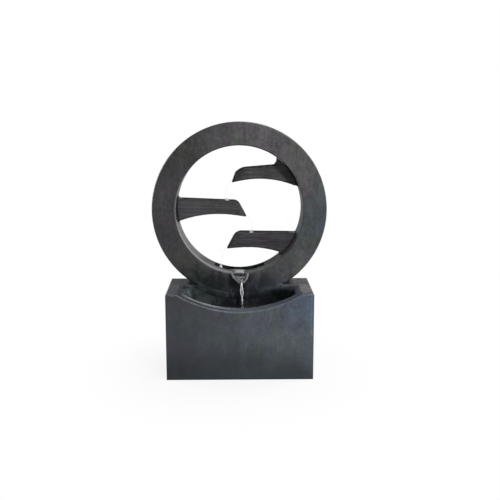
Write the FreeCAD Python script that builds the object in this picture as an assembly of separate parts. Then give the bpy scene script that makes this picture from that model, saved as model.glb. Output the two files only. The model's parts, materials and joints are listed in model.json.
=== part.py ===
import FreeCAD, Part
import math
import os

Vec = FreeCAD.Vector
UP = Vec(0, 0, 1)
BACK = Vec(0, 1, 0)
RIGHT = Vec(1, 0, 0)

# Ring-shaped cascade fountain, in millimetres.
# Origin: centre of the underside. +Z is up, the front faces -Y, and +X is on the right
# for someone who stands in front.

# Basin
base_width = 468.0
base_depth = 250.0
base_height = 278.0
base_wall = 9.0
base_edge_radius = 3.0

# Dipped front rim and bowl
rim_half_width = 197.0
rim_drop = 56.0
rim_depth = 45.0
rim_shoulder_radius = 10.0
bowl_top_half_width = 184.0
bowl_floor_half_width = 150.0
bowl_depth = 92.0
bowl_front_draft = 8.0
bowl_corner_radius = 16.0

# Ring
ring_outer_radius = 285.0
ring_width = 76.0
ring_thickness = 118.0
ring_wall = 6.0
ring_sink = 35.5
ring_front_edge_radius = 4.0
ring_back_edge_radius = 2.0

# Cradle that carries the ring
gasket_thickness = 1.6
gasket_setback = 4.0
gasket_hole_gap = 2.0
cheek_half_width = 176.0
cheek_height = 20.0
cheek_depth = 46.0
cheek_lean = 6.0
cheek_root = 2.0

# Back cover of the ring
cover_thickness = 5.0
cover_ledge = 2.0
cover_screw_radius = 2.0
cover_screw_length = 14.0
cover_slot_width = 1.0
cover_post_radius = 7.0
cover_post_inset = 12.0
cover_screw_angles = (0, 38, -38, 78, -78, 112, -112, 155, -155)

# Pool in the bottom of the ring, and its outlet
pool_half_width = 85.0
pool_depth = 20.0
pool_front_rim = 55.0
pool_back_rim = 9.0
outlet_half_width = 17.0
outlet_depth = 9.0

# Beak spout. A section's foot and shoulders are shares of its half width and depth.
beak_half_width = 31.0
beak_reach = 36.0
beak_tip_half_width = 11.0
beak_tip_drop = 25.0
beak_tip_height = 9.0
beak_depth = 34.0
beak_wall = 4.0
beak_bulge = 5.0
beak_shoulder = 0.75
beak_shoulder_depth = 0.55
beak_foot = 0.2

# Leaf troughs
leaf_depth = 50.0
leaf_back_inset = 7.0
leaf_wall = 7.0
leaf_floor = 8.0
leaf_root_wall = 14.0
leaf_taper = 55.0
leaf_tip_half_width = 9.0
leaf_tip_rise = 1.5
leaf_tip_heel = 2.0
leaf_end_bulge = 2.0
leaf_heel_cove = 12.0
leaf_lip_height = 2.5
leaf_lip_overrun = 6.0
leaf_shoulder_width = 0.72
leaf_shoulder_reach = 0.42
tenon_length = 10.0
tenon_width = 24.0
tenon_height = 18.0

# Side views of the leaves. Heights are above the ring's centre and x runs towards the leaf's root.
# The rim ends in root_cove, a hollow of that width and rise on the ring's wall, and the arch below
# meets the wall at the heel's height.
leaf_shapes = {
    "leaf_upper": dict(side=1, tenon_angle=27.0, tip=(-25.5, 86.0), end=(-14.0, 118.5),
                       rim_end=(18.0, 136.0), rim_root=144.0, root_cove=(8.0, 24.0),
                       crown=(66.0, 97.5), heel=75.0),
    "leaf_middle": dict(side=-1, tenon_angle=0.0, tip=(-24.0, -28.5), end=(-1.5, 13.5),
                        rim_end=(18.0, 25.5), rim_root=33.0, root_cove=(8.0, 9.0),
                        crown=(88.0, -20.0), heel=-40.0),
    "leaf_lower": dict(side=1, tenon_angle=-34.0, tip=(-42.5, -137.0), end=(-20.0, -95.0),
                       rim_end=(3.0, -80.5), rim_root=-83.0, root_cove=(8.0, 6.0),
                       crown=(46.0, -132.5), heel=-148.5),
}

# Ring fasteners
bolt_radius = 4.0
bolt_spread = 70.0
bolt_front_inset = 35.0
bolt_back_inset = 27.0
bolt_head_width = 13.0
bolt_head_height = 5.5
bolt_engagement = 14.0
washer_radius = 10.0
washer_thickness = 2.0
pad_radius = 14.0
pad_drop = 8.0
insert_radius = 6.0
insert_length = 20.0
insert_recess = 1.0
boss_radius = 11.0
boss_height = 30.0

# Hose that feeds the upper leaf
hose_radius = 8.5
hose_bore_radius = 6.5
hose_inset = 39.0
hose_overlap = 20.0
hose_entry_x = 110.0
hose_track_inset = 15.0
hose_join_angle = 40.0
hose_lower_bend = 60.0
hose_upper_bend = 50.0
hose_shift_rise = 29.0
hose_shift_drop = 78.0
hose_hole_gap = 2.5
inlet_angle = 39.5
inlet_radius = 6.0
inlet_bore_radius = 4.2
inlet_overhang = 19.0
elbow_radius = 9.0
elbow_run = 30.0
clip_angles = (75.0, 100.0)
clip_width = 10.0
clip_thickness = 2.0
clip_foot_radius = 4.0
clamp_width = 8.0
clamp_thickness = 1.4
clamp_inset = 4.0
clamp_screw_radius = 3.5
clamp_screw_length = 12.0

# Submersible pump
pump_x = 45.0
pump_foot_height = 9.0
pump_height = 54.0
pump_half_width = 24.0
motor_length = 56.0
motor_edge_radius = 5.0
volute_length = 22.0
volute_inset = 2.5
volute_bore = 18.5
volute_chamber = 13.0
eye_radius = 10.0
arm_thickness = 2.0
arm_depth = 4.0
nozzle_height = 24.0
nozzle_bore_radius = 4.6
gland_radius = 6.0
gland_length = 8.0
gland_drop = 12.0
strainer_length = 26.0
strainer_overlap = 4.0
strainer_wall = 2.2
strainer_slot = 3.0
strainer_slot_pitch = 6.5
strainer_slot_run = 19.5
strainer_margin = 5.0
strainer_side_slots = 3
rotor_radius = 11.5
rotor_length = 34.0
rotor_hub_radius = 4.0
rotor_gap = 0.7
rotor_end_gap = 2.0
impeller_radius = 17.0
impeller_disc = 2.5
impeller_gap = 0.5
impeller_blade_height = 7.0
impeller_blade_thickness = 1.6
impeller_blades = 6
shaft_radius = 1.5
shaft_inset = 1.0
bush_radius = 4.0
bush_length = 5.0
bush_wall = 2.0
dial_radius = 6.5
dial_offset = 1.0
dial_thickness = 3.5
dial_grip_width = 3.0
dial_grip_height = 2.5
dial_stem_radius = 3.0
dial_stem_length = 2.2
suction_radius = 9.0
suction_cup_height = 5.0
suction_cup_wall = 2.0
suction_neck_radius = 4.0
suction_stem_radius = 3.0
suction_stem_depth = 4.0
suction_collar_radius = 5.0
suction_collar_height = 2.0
suction_spread = 15.0

# Access door in the back wall
door_half_width = 100.0
door_height = 110.0
door_drop = 9.9
door_thickness = 8.0
door_frame_depth = 7.5
door_frame_margin = 10.0
door_ledge = 10.0
door_gap = 0.5
door_notch_radius = 14.0
door_notch_web = 3.0
door_rib_height = 4.0
door_rib_thickness = 4.0
door_rib_count = 3
door_rib_inset = 4.0
door_hinge_inset = 10.0
door_pin_radius = 2.0
door_pin_length = 16.0
magnet_radius = 4.0
magnet_thickness = 4.0
magnet_inset = 22.0
strike_radius = 4.0
strike_thickness = 1.5

# Cord grommet, drain plug and return screen
grommet_inset = 84.0
grommet_z = 150.0
grommet_bore_radius = 3.5
grommet_neck_radius = 9.0
grommet_flange_radius = 13.0
grommet_flange = 2.4
grommet_lip = 3.0
drain_inset = 64.0
drain_z = 32.0
drain_radius = 8.0
drain_head_radius = 13.0
drain_head_height = 5.5
drain_boss_radius = 17.0
drain_boss_depth = 8.0
drain_slot_width = 3.0
drain_slot_depth = 3.0
drain_slot_inset = 4.0
seal_thickness = 1.4
seal_inset = 1.0
screen_x = 65.0
screen_rise = 12.0
screen_half_width = 18.0
screen_half_height = 8.0
screen_thickness = 2.0
screen_border = 3.0
screen_slots = 5
screen_slot_width = 3.0

# Clearances, and how far a cut runs past the face it opens
seat_gap = 0.3
fit_gap = 0.05
hole_gap = 0.2
past = 1.0

# Places worked out from the sizes above
front_y = -base_depth / 2
back_y = base_depth / 2
ring_front_y = back_y - ring_thickness
ring_inner_radius = ring_outer_radius - ring_width
ring_z = base_height + ring_outer_radius - ring_sink
rim_radius = (rim_half_width ** 2 + rim_drop ** 2) / (2 * rim_drop)
rim_centre_z = base_height - rim_drop + rim_radius
bowl_floor_z = base_height - bowl_depth
bowl_front_y = front_y + rim_depth
cradle_radius = ring_outer_radius + gasket_thickness + 2 * hole_gap
cover_y = back_y - cover_thickness
cover_post_circle = ring_inner_radius + cover_post_inset
leaf_back_y = back_y - leaf_back_inset
leaf_front_y = leaf_back_y - leaf_depth
leaf_y = (leaf_front_y + leaf_back_y) / 2
inner_back_y = back_y - base_wall
hose_y = back_y - hose_inset
hose_track_radius = ring_outer_radius - ring_wall - hose_track_inset
inlet_reach = ring_inner_radius - inlet_overhang
screen_z = bowl_floor_z + screen_rise
outlet_z = ring_z - ring_inner_radius - outlet_depth
boss_reach = bolt_spread + boss_radius
insert_bottom = ring_z - math.sqrt(ring_outer_radius ** 2 - boss_reach ** 2) + insert_recess
pad_bottom = ring_z - math.sqrt((cradle_radius + base_wall) ** 2 - bolt_spread ** 2) - pad_drop
bolt_rows = (ring_front_y + bolt_front_inset, back_y - bolt_back_inset)
pump_bottom = base_wall + pump_foot_height
pump_top = pump_bottom + pump_height
motor_z = pump_bottom + pump_height / 2
nozzle_top = pump_top + nozzle_height
nozzle_radius = hose_bore_radius - fit_gap
volute_front_x = pump_x - volute_length / 2
volute_back_x = pump_x + volute_length / 2
volute_y = (hose_y - pump_half_width + volute_inset, hose_y + pump_half_width - volute_inset)
volute_z = (pump_bottom + volute_inset, pump_top - volute_inset)
chamber_x = volute_back_x - volute_chamber
rotor_x = volute_back_x + rotor_end_gap
rotor_end_x = rotor_x + rotor_length + rotor_end_gap
dial_x = pump_x + dial_offset
door_top = pad_bottom - door_drop
door_bottom = door_top - door_height
door_front_y = back_y - door_thickness
door_seat_y = door_front_y - seat_gap
hinge_x = -door_half_width + door_gap + door_thickness / 2
hinge_y = back_y - door_thickness / 2
magnet_x = door_half_width - door_ledge / 2
magnet_heights = (door_bottom + magnet_inset, door_top - magnet_inset)
grommet_x = base_width / 2 - grommet_inset
drain_x = drain_inset - base_width / 2
bolt_places = [(side * bolt_spread, y) for side in (-1, 1) for y in bolt_rows]

SHAPES = {}


def keep(name, shape):
    """Holds a finished sub-part until all of them are written."""
    SHAPES[name] = shape


def box(x, y, z):
    """A block between two x, two y and two z values."""
    return Part.makeBox(x[1] - x[0], y[1] - y[0], z[1] - z[0], Vec(x[0], y[0], z[0]))


def centred(middle, half):
    return middle - half, middle + half


def rod(radius, start, end):
    """A round bar from one point to another."""
    run = end - start
    return Part.makeCylinder(radius, run.Length, start, run)


def tube(outer, inner, start, end):
    return rod(outer, start, end).cut(rod(inner, start, end))


def post(radius, x, y, z):
    """An upright round bar between two z values."""
    return rod(radius, Vec(x, y, z[0]), Vec(x, y, z[1]))


def disc(radius, y, x=0.0, z=ring_z):
    """A round bar along Y between two y values, on the ring's axis unless told otherwise."""
    return rod(radius, Vec(x, y[0], z), Vec(x, y[1], z))


def hoop(outer, inner, y):
    """An annulus about the ring's axis."""
    return disc(outer, y).cut(disc(inner, y))


def axle(radius, x):
    """A round bar on the motor's axis between two x values."""
    return rod(radius, Vec(x[0], hose_y, motor_z), Vec(x[1], hose_y, motor_z))


def on_ring(radius, angle, y):
    """A point at an angle above the ring's horizontal radius."""
    turn = math.radians(angle)
    return Vec(radius * math.cos(turn), y, ring_z + radius * math.sin(turn))


def mirrored(shape):
    return shape.mirror(Vec(0, 0, 0), RIGHT)


def line(a, b):
    return Part.LineSegment(a, b).toShape()


def arc(a, b, c):
    return Part.Arc(a, b, c).toShape()


def outline(points):
    """Straight edges through the points, closed."""
    return [line(a, b) for a, b in zip(points, points[1:] + points[:1])]


def prism(edges, direction):
    """A solid swept from a closed flat outline."""
    return Part.Face(Part.Wire(edges)).extrude(direction)


def near(a, b):
    return abs(a - b) < past


def round_edges(shape, radius, chosen):
    """Rounds the edges whose middle passes a test."""
    return shape.makeFillet(radius, [e for e in shape.Edges if chosen(e.CenterOfMass)])


def rounded_rectangle(half_x, y, radius, z):
    """A flat wire with four equal rounded corners, even about the middle plane."""
    corners = []
    starts = (-90, 0, 90, 180)
    for (x, corner_y), start in zip(((1, 0), (1, 1), (-1, 1), (-1, 0)), starts):
        middle = Vec(x * (half_x - radius), y[corner_y] + (1 - 2 * corner_y) * radius, z)
        spots = []
        for angle in (start, start + 45, start + 90):
            turn = math.radians(angle)
            spots.append(middle + Vec(radius * math.cos(turn), radius * math.sin(turn), 0))
        corners.append(spots)
    edges = []
    for spots, following in zip(corners, corners[1:] + corners[:1]):
        edges.append(arc(*spots))
        edges.append(line(spots[2], following[0]))
    return Part.Wire(edges)


def bowl_body(grow):
    """The bowl's hollow, or with grow the outside of its walls."""
    radius = bowl_corner_radius + grow
    upper = rounded_rectangle(bowl_top_half_width + grow, (bowl_front_y - grow, ring_front_y + grow),
                              radius, base_height + past)
    lower = rounded_rectangle(bowl_floor_half_width + grow,
                              (bowl_front_y + bowl_front_draft - grow, ring_front_y + grow),
                              radius, bowl_floor_z - grow)
    return Part.makeLoft([lower, upper], True, True)


def path_with_bends(points, radii):
    """Edges through the points, each inner corner rounded to its radius."""
    edges = []
    start = points[0]
    for before, corner, after, radius in zip(points, points[1:], points[2:], radii):
        toward = (before - corner).normalize()
        away = (after - corner).normalize()
        half_turn = (math.pi - toward.getAngle(away)) / 2
        cut_back = radius * math.tan(half_turn)
        first = corner + toward * cut_back
        last = corner + away * cut_back
        inward = (toward + away).normalize()
        middle = corner + inward * (radius / math.cos(half_turn) - radius)
        edges.append(line(start, first))
        edges.append(arc(first, middle, last))
        start = last
    edges.append(line(start, points[-1]))
    return edges


def sweep(edges, radius, start, direction):
    """A round bar along a path."""
    section = Part.Wire([Part.makeCircle(radius, start, direction)])
    return Part.Wire(edges).makePipeShell([section], True, False)


def make_base():
    shell = box(centred(0, base_width / 2), (front_y, back_y), (0, base_height))
    shell = shell.cut(disc(rim_radius, (front_y - past, ring_front_y), z=rim_centre_z))
    shell = round_edges(shell, rim_shoulder_radius,
                        lambda c: near(abs(c.x), rim_half_width) and near(c.z, base_height))
    shell = round_edges(shell, base_edge_radius,
                        lambda c: near(c.y, front_y) and c.z > base_height - rim_drop - past
                        or near(abs(c.x), base_width / 2) and c.z > past
                        or near(c.y, back_y) and near(c.z, base_height))

    cavity = box(centred(0, base_width / 2 - base_wall), (front_y + base_wall, inner_back_y),
                 (base_wall, base_height - base_wall))
    cavity = cavity.cut(disc(rim_radius + base_wall, (front_y - past, ring_front_y + base_wall),
                             z=rim_centre_z))
    cavity = cavity.cut(bowl_body(base_wall))
    cavity = cavity.cut(disc(cradle_radius + base_wall, (ring_front_y - past, back_y)))
    shell = shell.cut(cavity).cut(bowl_body(0))

    foot_x = cheek_half_width - cheek_lean
    foot_z = base_height - cheek_root
    top_z = base_height + cheek_height
    cheek = outline([Vec(bolt_spread, back_y, foot_z), Vec(foot_x, back_y, foot_z),
                     Vec(cheek_half_width, back_y, top_z), Vec(bolt_spread, back_y, top_z)])
    cheek = prism(cheek, BACK * -cheek_depth)
    shell = shell.fuse([cheek, mirrored(cheek)])

    for x, y in bolt_places:
        shell = shell.fuse(post(pad_radius, x, y, (pad_bottom, base_height)))
    shell = shell.cut(disc(cradle_radius, (ring_front_y, back_y + past)))
    for x, y in bolt_places:
        shell = shell.cut(post(bolt_radius + hole_gap, x, y, (pad_bottom - past, base_height)))
    shell = cut_door_opening(shell.cut(hose_passage()))
    keep("base_shell", cut_services(shell))


def cut_door_opening(shell):
    """Frame, ledge, pin holes and magnet pockets of the access door."""
    frame_z = (door_bottom - door_frame_margin, door_top + door_frame_margin)
    frame_y = door_seat_y - door_frame_depth
    shell = shell.fuse(box(centred(0, door_half_width + door_frame_margin),
                           (frame_y, inner_back_y + past), frame_z))
    shell = shell.cut(box(centred(0, door_half_width), (door_seat_y, back_y + past),
                          (door_bottom, door_top)))
    shell = shell.cut(box(centred(0, door_half_width - door_ledge), (frame_y - past, back_y),
                          (door_bottom + door_ledge, door_top - door_ledge)))
    for z in (door_bottom - door_pin_length / 2, door_top):
        shell = shell.cut(post(door_pin_radius + fit_gap, hinge_x, hinge_y, (z, z + door_pin_length / 2)))
    for z in magnet_heights:
        pocket_y = (door_seat_y - magnet_thickness, door_seat_y + past)
        shell = shell.cut(disc(magnet_radius + fit_gap, pocket_y, magnet_x, z))
    return shell


def cut_services(shell):
    """Grommet hole, drain and return slot of the base."""
    out_y = back_y + past
    shell = shell.cut(disc(grommet_neck_radius, (inner_back_y - past, out_y), grommet_x, grommet_z))
    shell = shell.cut(disc(grommet_flange_radius + hole_gap, (back_y - grommet_flange - hole_gap, out_y),
                           grommet_x, grommet_z))

    boss_y = inner_back_y - drain_boss_depth
    head_seat = back_y - drain_head_height - seal_thickness
    shell = shell.fuse(disc(drain_boss_radius, (boss_y, inner_back_y + past), drain_x, drain_z))
    shell = shell.cut(disc(drain_radius, (boss_y - past, out_y), drain_x, drain_z))
    shell = shell.cut(disc(drain_head_radius + hole_gap, (head_seat, out_y), drain_x, drain_z))

    shell = shell.cut(box(centred(screen_x, screen_half_width),
                          (ring_front_y - past, ring_front_y + screen_thickness),
                          centred(screen_z, screen_half_height)))
    return shell.cut(box(centred(screen_x, screen_half_width - screen_border),
                         (ring_front_y, ring_front_y + base_wall + past),
                         centred(screen_z, screen_half_height - screen_border)))


def make_screen():
    plate = box(centred(screen_x, screen_half_width - hole_gap),
                (ring_front_y, ring_front_y + screen_thickness),
                centred(screen_z, screen_half_height - hole_gap))
    pitch = 2 * (screen_half_width - screen_border) / screen_slots
    for index in range(screen_slots):
        middle = screen_x + (index - (screen_slots - 1) / 2) * pitch
        plate = plate.cut(box(centred(middle, screen_slot_width / 2),
                              (ring_front_y - past, ring_front_y + screen_thickness + past),
                              centred(screen_z, screen_half_height - screen_border)))
    keep("return_screen", plate)


def bottom_sector(outer, inner, half_width, y):
    """The part of a hoop near the ring's bottom, within half_width of the middle."""
    return hoop(outer, inner, y).common(box(centred(0, half_width), y, (ring_z - outer - past, ring_z)))


def cover_places():
    return [on_ring(cover_post_circle, 90 - angle, 0) for angle in cover_screw_angles]


def make_ring():
    body = hoop(ring_outer_radius, ring_inner_radius, (ring_front_y, back_y))
    front_edges = [e for e in body.Edges if near(e.BoundBox.YMax, ring_front_y)]
    body = body.makeFillet(ring_front_edge_radius, front_edges)
    back_edges = [e for e in body.Edges if near(e.BoundBox.YMin, back_y)]
    body = body.makeFillet(ring_back_edge_radius, back_edges)

    hollow_y = (ring_front_y + ring_wall, back_y + past)
    hollow = hoop(ring_outer_radius - ring_wall, ring_inner_radius + ring_wall, hollow_y)
    pool_floor_radius = ring_inner_radius + pool_depth
    hollow = hollow.cut(bottom_sector(pool_floor_radius + ring_wall, ring_inner_radius - past,
                                      pool_half_width + ring_wall, hollow_y))
    for spot in cover_places():
        hollow = hollow.cut(disc(cover_post_radius, hollow_y, spot.x, spot.z))
    for x, y in bolt_places:
        hollow = hollow.cut(post(boss_radius, x, y,
                                 (ring_z - ring_outer_radius, insert_bottom + boss_height)))
    body = body.cut(hollow)
    body = body.cut(hoop(ring_outer_radius - ring_wall + cover_ledge,
                         ring_inner_radius + ring_wall - cover_ledge,
                         (cover_y - hole_gap, back_y + past)))

    for spot in cover_places():
        body = body.cut(disc(cover_screw_radius + fit_gap, (cover_y - cover_screw_length - past, back_y),
                             spot.x, spot.z))
    for x, y in bolt_places:
        body = body.cut(post(insert_radius + fit_gap, x, y, (insert_bottom, insert_bottom + insert_length)))
        body = body.cut(post(bolt_radius + hole_gap, x, y,
                             (ring_z - ring_outer_radius - past, insert_bottom + past)))
    pool_front_y = ring_front_y + pool_front_rim
    body = body.cut(bottom_sector(pool_floor_radius, ring_inner_radius - past, pool_half_width,
                                  (pool_front_y, back_y - pool_back_rim)))
    body = body.cut(box(centred(0, outlet_half_width), (ring_front_y - past, pool_front_y + past),
                        (outlet_z, ring_z - ring_inner_radius + past)))
    body = body.cut(hose_passage())
    body = body.cut(rod(inlet_radius + hole_gap, on_ring(ring_inner_radius - past, inlet_angle, hose_y),
                        on_ring(ring_inner_radius + ring_wall + past, inlet_angle, hose_y)))
    for shape in leaf_shapes.values():
        body = body.cut(tenon(shape, hole_gap, ring_inner_radius + ring_wall + past))
    keep("ring_shell", body)


def make_ring_cover():
    plate = hoop(ring_outer_radius - ring_wall + cover_ledge - hole_gap,
                 ring_inner_radius + ring_wall - cover_ledge + hole_gap,
                 (cover_y, back_y - hole_gap))
    screws = []
    head_radius = 2 * cover_screw_radius
    head_y = cover_y + cover_thickness / 2
    for spot in cover_places():
        plate = plate.cut(disc(cover_screw_radius + hole_gap, (cover_y - past, back_y), spot.x, spot.z))
        plate = plate.cut(disc(head_radius + hole_gap, (head_y, back_y), spot.x, spot.z))
        screw = disc(cover_screw_radius, (cover_y - cover_screw_length, head_y), spot.x, spot.z)
        head = disc(head_radius, (head_y, back_y - 2 * hole_gap), spot.x, spot.z)
        slot = box(centred(spot.x, cover_slot_width / 2), (back_y - cover_slot_width, back_y),
                   centred(spot.z, head_radius + past))
        screws.append(screw.fuse(head).cut(slot))
    keep("ring_back_cover", plate)
    keep("ring_cover_screws", Part.makeCompound(screws))


def make_gasket():
    band = hoop(ring_outer_radius + gasket_thickness + hole_gap, ring_outer_radius + hole_gap,
                (ring_front_y + gasket_setback, back_y - gasket_setback))
    band = band.common(box(centred(0, base_width / 2), (front_y, back_y),
                           (0, base_height - gasket_setback)))
    for x, y in bolt_places:
        band = band.cut(post(bolt_radius + gasket_hole_gap, x, y, (0, base_height)))
    keep("ring_seat_gasket", band.cut(hose_passage()))


def hexagon(width, start, height):
    corner = width / math.sqrt(3)
    spots = []
    for index in range(6):
        turn = math.radians(60 * index)
        spots.append(start + Vec(corner * math.cos(turn), corner * math.sin(turn), 0))
    return prism(outline(spots), UP * height)


def make_ring_fasteners():
    bolts, washers, inserts = [], [], []
    head_top = pad_bottom - washer_thickness
    for x, y in bolt_places:
        shank = post(bolt_radius, x, y, (head_top, insert_bottom + bolt_engagement))
        head = hexagon(bolt_head_width, Vec(x, y, head_top - bolt_head_height), bolt_head_height)
        bolts.append(shank.fuse(head))
        washers.append(tube(washer_radius, bolt_radius + hole_gap, Vec(x, y, head_top),
                            Vec(x, y, pad_bottom)))
        inserts.append(tube(insert_radius, bolt_radius + fit_gap, Vec(x, y, insert_bottom),
                            Vec(x, y, insert_bottom + insert_length)))
    keep("ring_bolts", Part.makeCompound(bolts))
    keep("ring_washers", Part.makeCompound(washers))
    keep("ring_inserts", Part.makeCompound(inserts))


def spout_section(half_width, top, bottom, y):
    """A V with bulging sides and a blunt foot, in an upright plane across the fountain."""
    shoulder_x = half_width * beak_shoulder
    shoulder_z = top + (bottom - top) * beak_shoulder_depth
    foot_x = half_width * beak_foot
    right = [Vec(half_width, y, top), Vec(shoulder_x, y, shoulder_z), Vec(foot_x, y, bottom)]
    left = [Vec(-spot.x, y, spot.z) for spot in reversed(right)]
    return Part.Wire(outline(right + left))


def make_spout():
    root_top = ring_z - math.sqrt(ring_inner_radius ** 2 - beak_half_width ** 2)
    root_y = ring_front_y - seat_gap
    tip_y = ring_front_y - beak_reach
    tip_top = root_top - beak_tip_drop
    tip_bottom = tip_top - beak_tip_height
    root_bottom = root_top - beak_depth
    middle_y = (root_y + tip_y) / 2
    middle_width = (beak_half_width + beak_tip_half_width) / 2 + beak_bulge
    middle_top = (root_top + tip_top) / 2
    middle_bottom = (root_bottom + tip_bottom) / 2
    lift = 2 * beak_wall
    outer = Part.makeLoft([spout_section(beak_half_width, root_top, root_bottom, root_y),
                           spout_section(middle_width, middle_top, middle_bottom, middle_y),
                           spout_section(beak_tip_half_width, tip_top, tip_bottom, tip_y)], True, True)
    inner = Part.makeLoft([spout_section(beak_half_width - beak_wall, root_top + lift,
                                         outlet_z - beak_wall, root_y + past),
                           spout_section(middle_width - beak_wall, middle_top + lift,
                                         middle_bottom + beak_wall, middle_y),
                           spout_section(beak_tip_half_width - beak_wall, tip_top + lift,
                                         tip_bottom + beak_wall, tip_y - past)], True, True)
    keep("pour_spout", outer.cut(inner))


def tenon(shape, grow, reach):
    """The tongue that holds a leaf in the ring's inner wall."""
    block = box((ring_inner_radius - 2 * past, reach), centred(leaf_y, tenon_width / 2 + grow),
                centred(ring_z, tenon_height / 2 + grow))
    block.rotate(Vec(0, 0, ring_z), BACK, -shape["tenon_angle"])
    return block if shape["side"] > 0 else mirrored(block)


def wall_x(height):
    """Distance from the ring's axis to its inner wall at a height above the centre."""
    return math.sqrt((ring_inner_radius - seat_gap) ** 2 - height ** 2)


def leaf_point(x, height):
    return Vec(x, 0, ring_z + height)


def leaf_side_outline(shape):
    """Side view of a leaf, from the tip along the rim to the root and back under the arch."""
    tip_x, tip_z = shape["tip"]
    heel_z = shape["heel"]
    rim = shape["rim_root"]
    width, rise = shape["root_cove"]
    tip_top = leaf_point(tip_x, tip_z + leaf_tip_rise)
    tip_bottom = leaf_point(tip_x + leaf_tip_heel, tip_z - leaf_tip_heel)
    end = leaf_point(*shape["end"])
    rim_end = leaf_point(*shape["rim_end"])
    corner = (end + rim_end) * 0.5 + Vec(-leaf_end_bulge, 0, leaf_end_bulge)

    cove_start = leaf_point(wall_x(rim + rise) - width, rim)
    cove_end = leaf_point(wall_x(rim + rise), rim + rise)
    cove_middle = quarter_turn(cove_start, cove_end)
    outer_top = leaf_point(ring_inner_radius + leaf_heel_cove, rim + rise)
    outer_bottom = leaf_point(ring_inner_radius + leaf_heel_cove, heel_z - leaf_heel_cove)
    heel_end = leaf_point(wall_x(heel_z - leaf_heel_cove), heel_z - leaf_heel_cove)
    heel_start = leaf_point(wall_x(heel_z) - leaf_heel_cove, heel_z)
    heel_middle = quarter_turn(heel_start, heel_end)
    return [line(tip_top, end), arc(end, corner, rim_end), line(rim_end, cove_start),
            arc(cove_start, cove_middle, cove_end), line(cove_end, outer_top),
            line(outer_top, outer_bottom), line(outer_bottom, heel_end),
            arc(heel_end, heel_middle, heel_start),
            arc(heel_start, leaf_point(*shape["crown"]), tip_bottom), line(tip_bottom, tip_top)]


def quarter_turn(start, end):
    """Middle of a hollow quarter turn that leaves start level and meets end upright."""
    share = math.sin(math.radians(45))
    return Vec(start.x + (end.x - start.x) * share, start.y, end.z + (start.z - end.z) * share)


def leaf_plan_outline(tip_x, half_width, tip_half_width, overrun):
    """Plan of a leaf: straight sides that close in towards the tip."""
    far = ring_inner_radius + 2 * leaf_heel_cove
    shoulder_x = tip_x + leaf_taper * leaf_shoulder_reach
    shoulder = tip_half_width + (half_width - tip_half_width) * leaf_shoulder_width
    sides = []
    for sign in (1, -1):
        sides.append([Vec(far, leaf_y + sign * half_width, 0),
                      Vec(tip_x + leaf_taper, leaf_y + sign * half_width, 0),
                      Vec(shoulder_x, leaf_y + sign * shoulder, 0),
                      Vec(tip_x, leaf_y + sign * tip_half_width, 0),
                      Vec(tip_x - overrun, leaf_y + sign * tip_half_width, 0)])
    left, right = sides
    edges = [line(right[0], left[0]), line(left[0], left[1]), arc(*left[1:4]), line(left[3], left[4]),
             line(left[4], right[4]), line(right[4], right[3]), arc(right[3], right[2], right[1]),
             line(right[1], right[0])]
    return prism(edges, UP * 2 * (ring_z + ring_outer_radius))


def make_leaf(name, shape):
    profile = Part.Face(Part.Wire(leaf_side_outline(shape)))
    profile.translate(BACK * leaf_front_y)
    body = profile.extrude(BACK * leaf_depth)
    tip_x, tip_z = shape["tip"]
    crown_x, crown_z = shape["crown"]
    body = body.common(leaf_plan_outline(tip_x, leaf_depth / 2, leaf_tip_half_width, past))
    body = body.common(disc(ring_inner_radius - seat_gap, (ring_front_y, back_y)))

    floor_root = leaf_point(wall_x(crown_z + leaf_floor), crown_z + leaf_floor)
    floor_crown = leaf_point(crown_x, crown_z + leaf_floor)
    floor_tip = leaf_point(tip_x - leaf_lip_overrun, tip_z + leaf_lip_height)
    open_z = shape["rim_root"] + shape["root_cove"][1] + past
    open_root = leaf_point(floor_root.x, open_z)
    open_tip = leaf_point(floor_tip.x, open_z)
    floor_end = floor_root + UP * past
    trough = prism([arc(floor_tip, floor_crown, floor_end), line(floor_end, open_root),
                    line(open_root, open_tip), line(open_tip, floor_tip)], BACK * back_y)
    trough = trough.common(leaf_plan_outline(tip_x, leaf_depth / 2 - leaf_wall,
                                             leaf_tip_half_width - leaf_wall / 2, leaf_lip_overrun + past))
    trough = trough.common(disc(ring_inner_radius - leaf_root_wall, (ring_front_y, back_y)))
    body = body.cut(trough)
    if shape["side"] < 0:
        body = mirrored(body)
    body = body.fuse(tenon(shape, 0, ring_inner_radius + tenon_length))
    if name == "leaf_upper":
        body = body.cut(rod(inlet_radius + hole_gap, on_ring(inlet_reach - past, inlet_angle, hose_y),
                            on_ring(ring_inner_radius + past, inlet_angle, hose_y)))
    keep(name, body)


def ring_direction(angle):
    """Way along the ring's rim, anticlockwise from the front, at an angle."""
    return Vec(-math.sin(math.radians(angle)), 0, math.cos(math.radians(angle)))


# The hose's route lies in one upright plane, through the cradle and up the ring's right limb.
hose_start = Vec(pump_x, hose_y, nozzle_top - hose_overlap)
shift_start = Vec(pump_x, hose_y, nozzle_top + hose_shift_rise)
shift_end = Vec(hose_entry_x, hose_y, base_height - hose_shift_drop)
join_point = on_ring(hose_track_radius, hose_join_angle - 90, hose_y)
join_direction = ring_direction(hose_join_angle - 90)
entry_corner = join_point - join_direction * ((join_point.x - hose_entry_x) / join_direction.x)
track_end_angle = inlet_angle - math.degrees(math.atan(elbow_run / hose_track_radius))
track_end = on_ring(hose_track_radius, track_end_angle, hose_y)
track_direction = ring_direction(track_end_angle)
elbow_centre = track_end + track_direction * elbow_run
hose_end = elbow_centre - track_direction * (elbow_radius + past)


def hose_path():
    rise = path_with_bends([hose_start, shift_start, shift_end, entry_corner, join_point],
                           (hose_lower_bend, hose_lower_bend, hose_upper_bend))
    middle_angle = (hose_join_angle - 90 + track_end_angle) / 2
    limb = arc(join_point, on_ring(hose_track_radius, middle_angle, hose_y), track_end)
    return rise + [limb, line(track_end, hose_end)]


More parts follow.
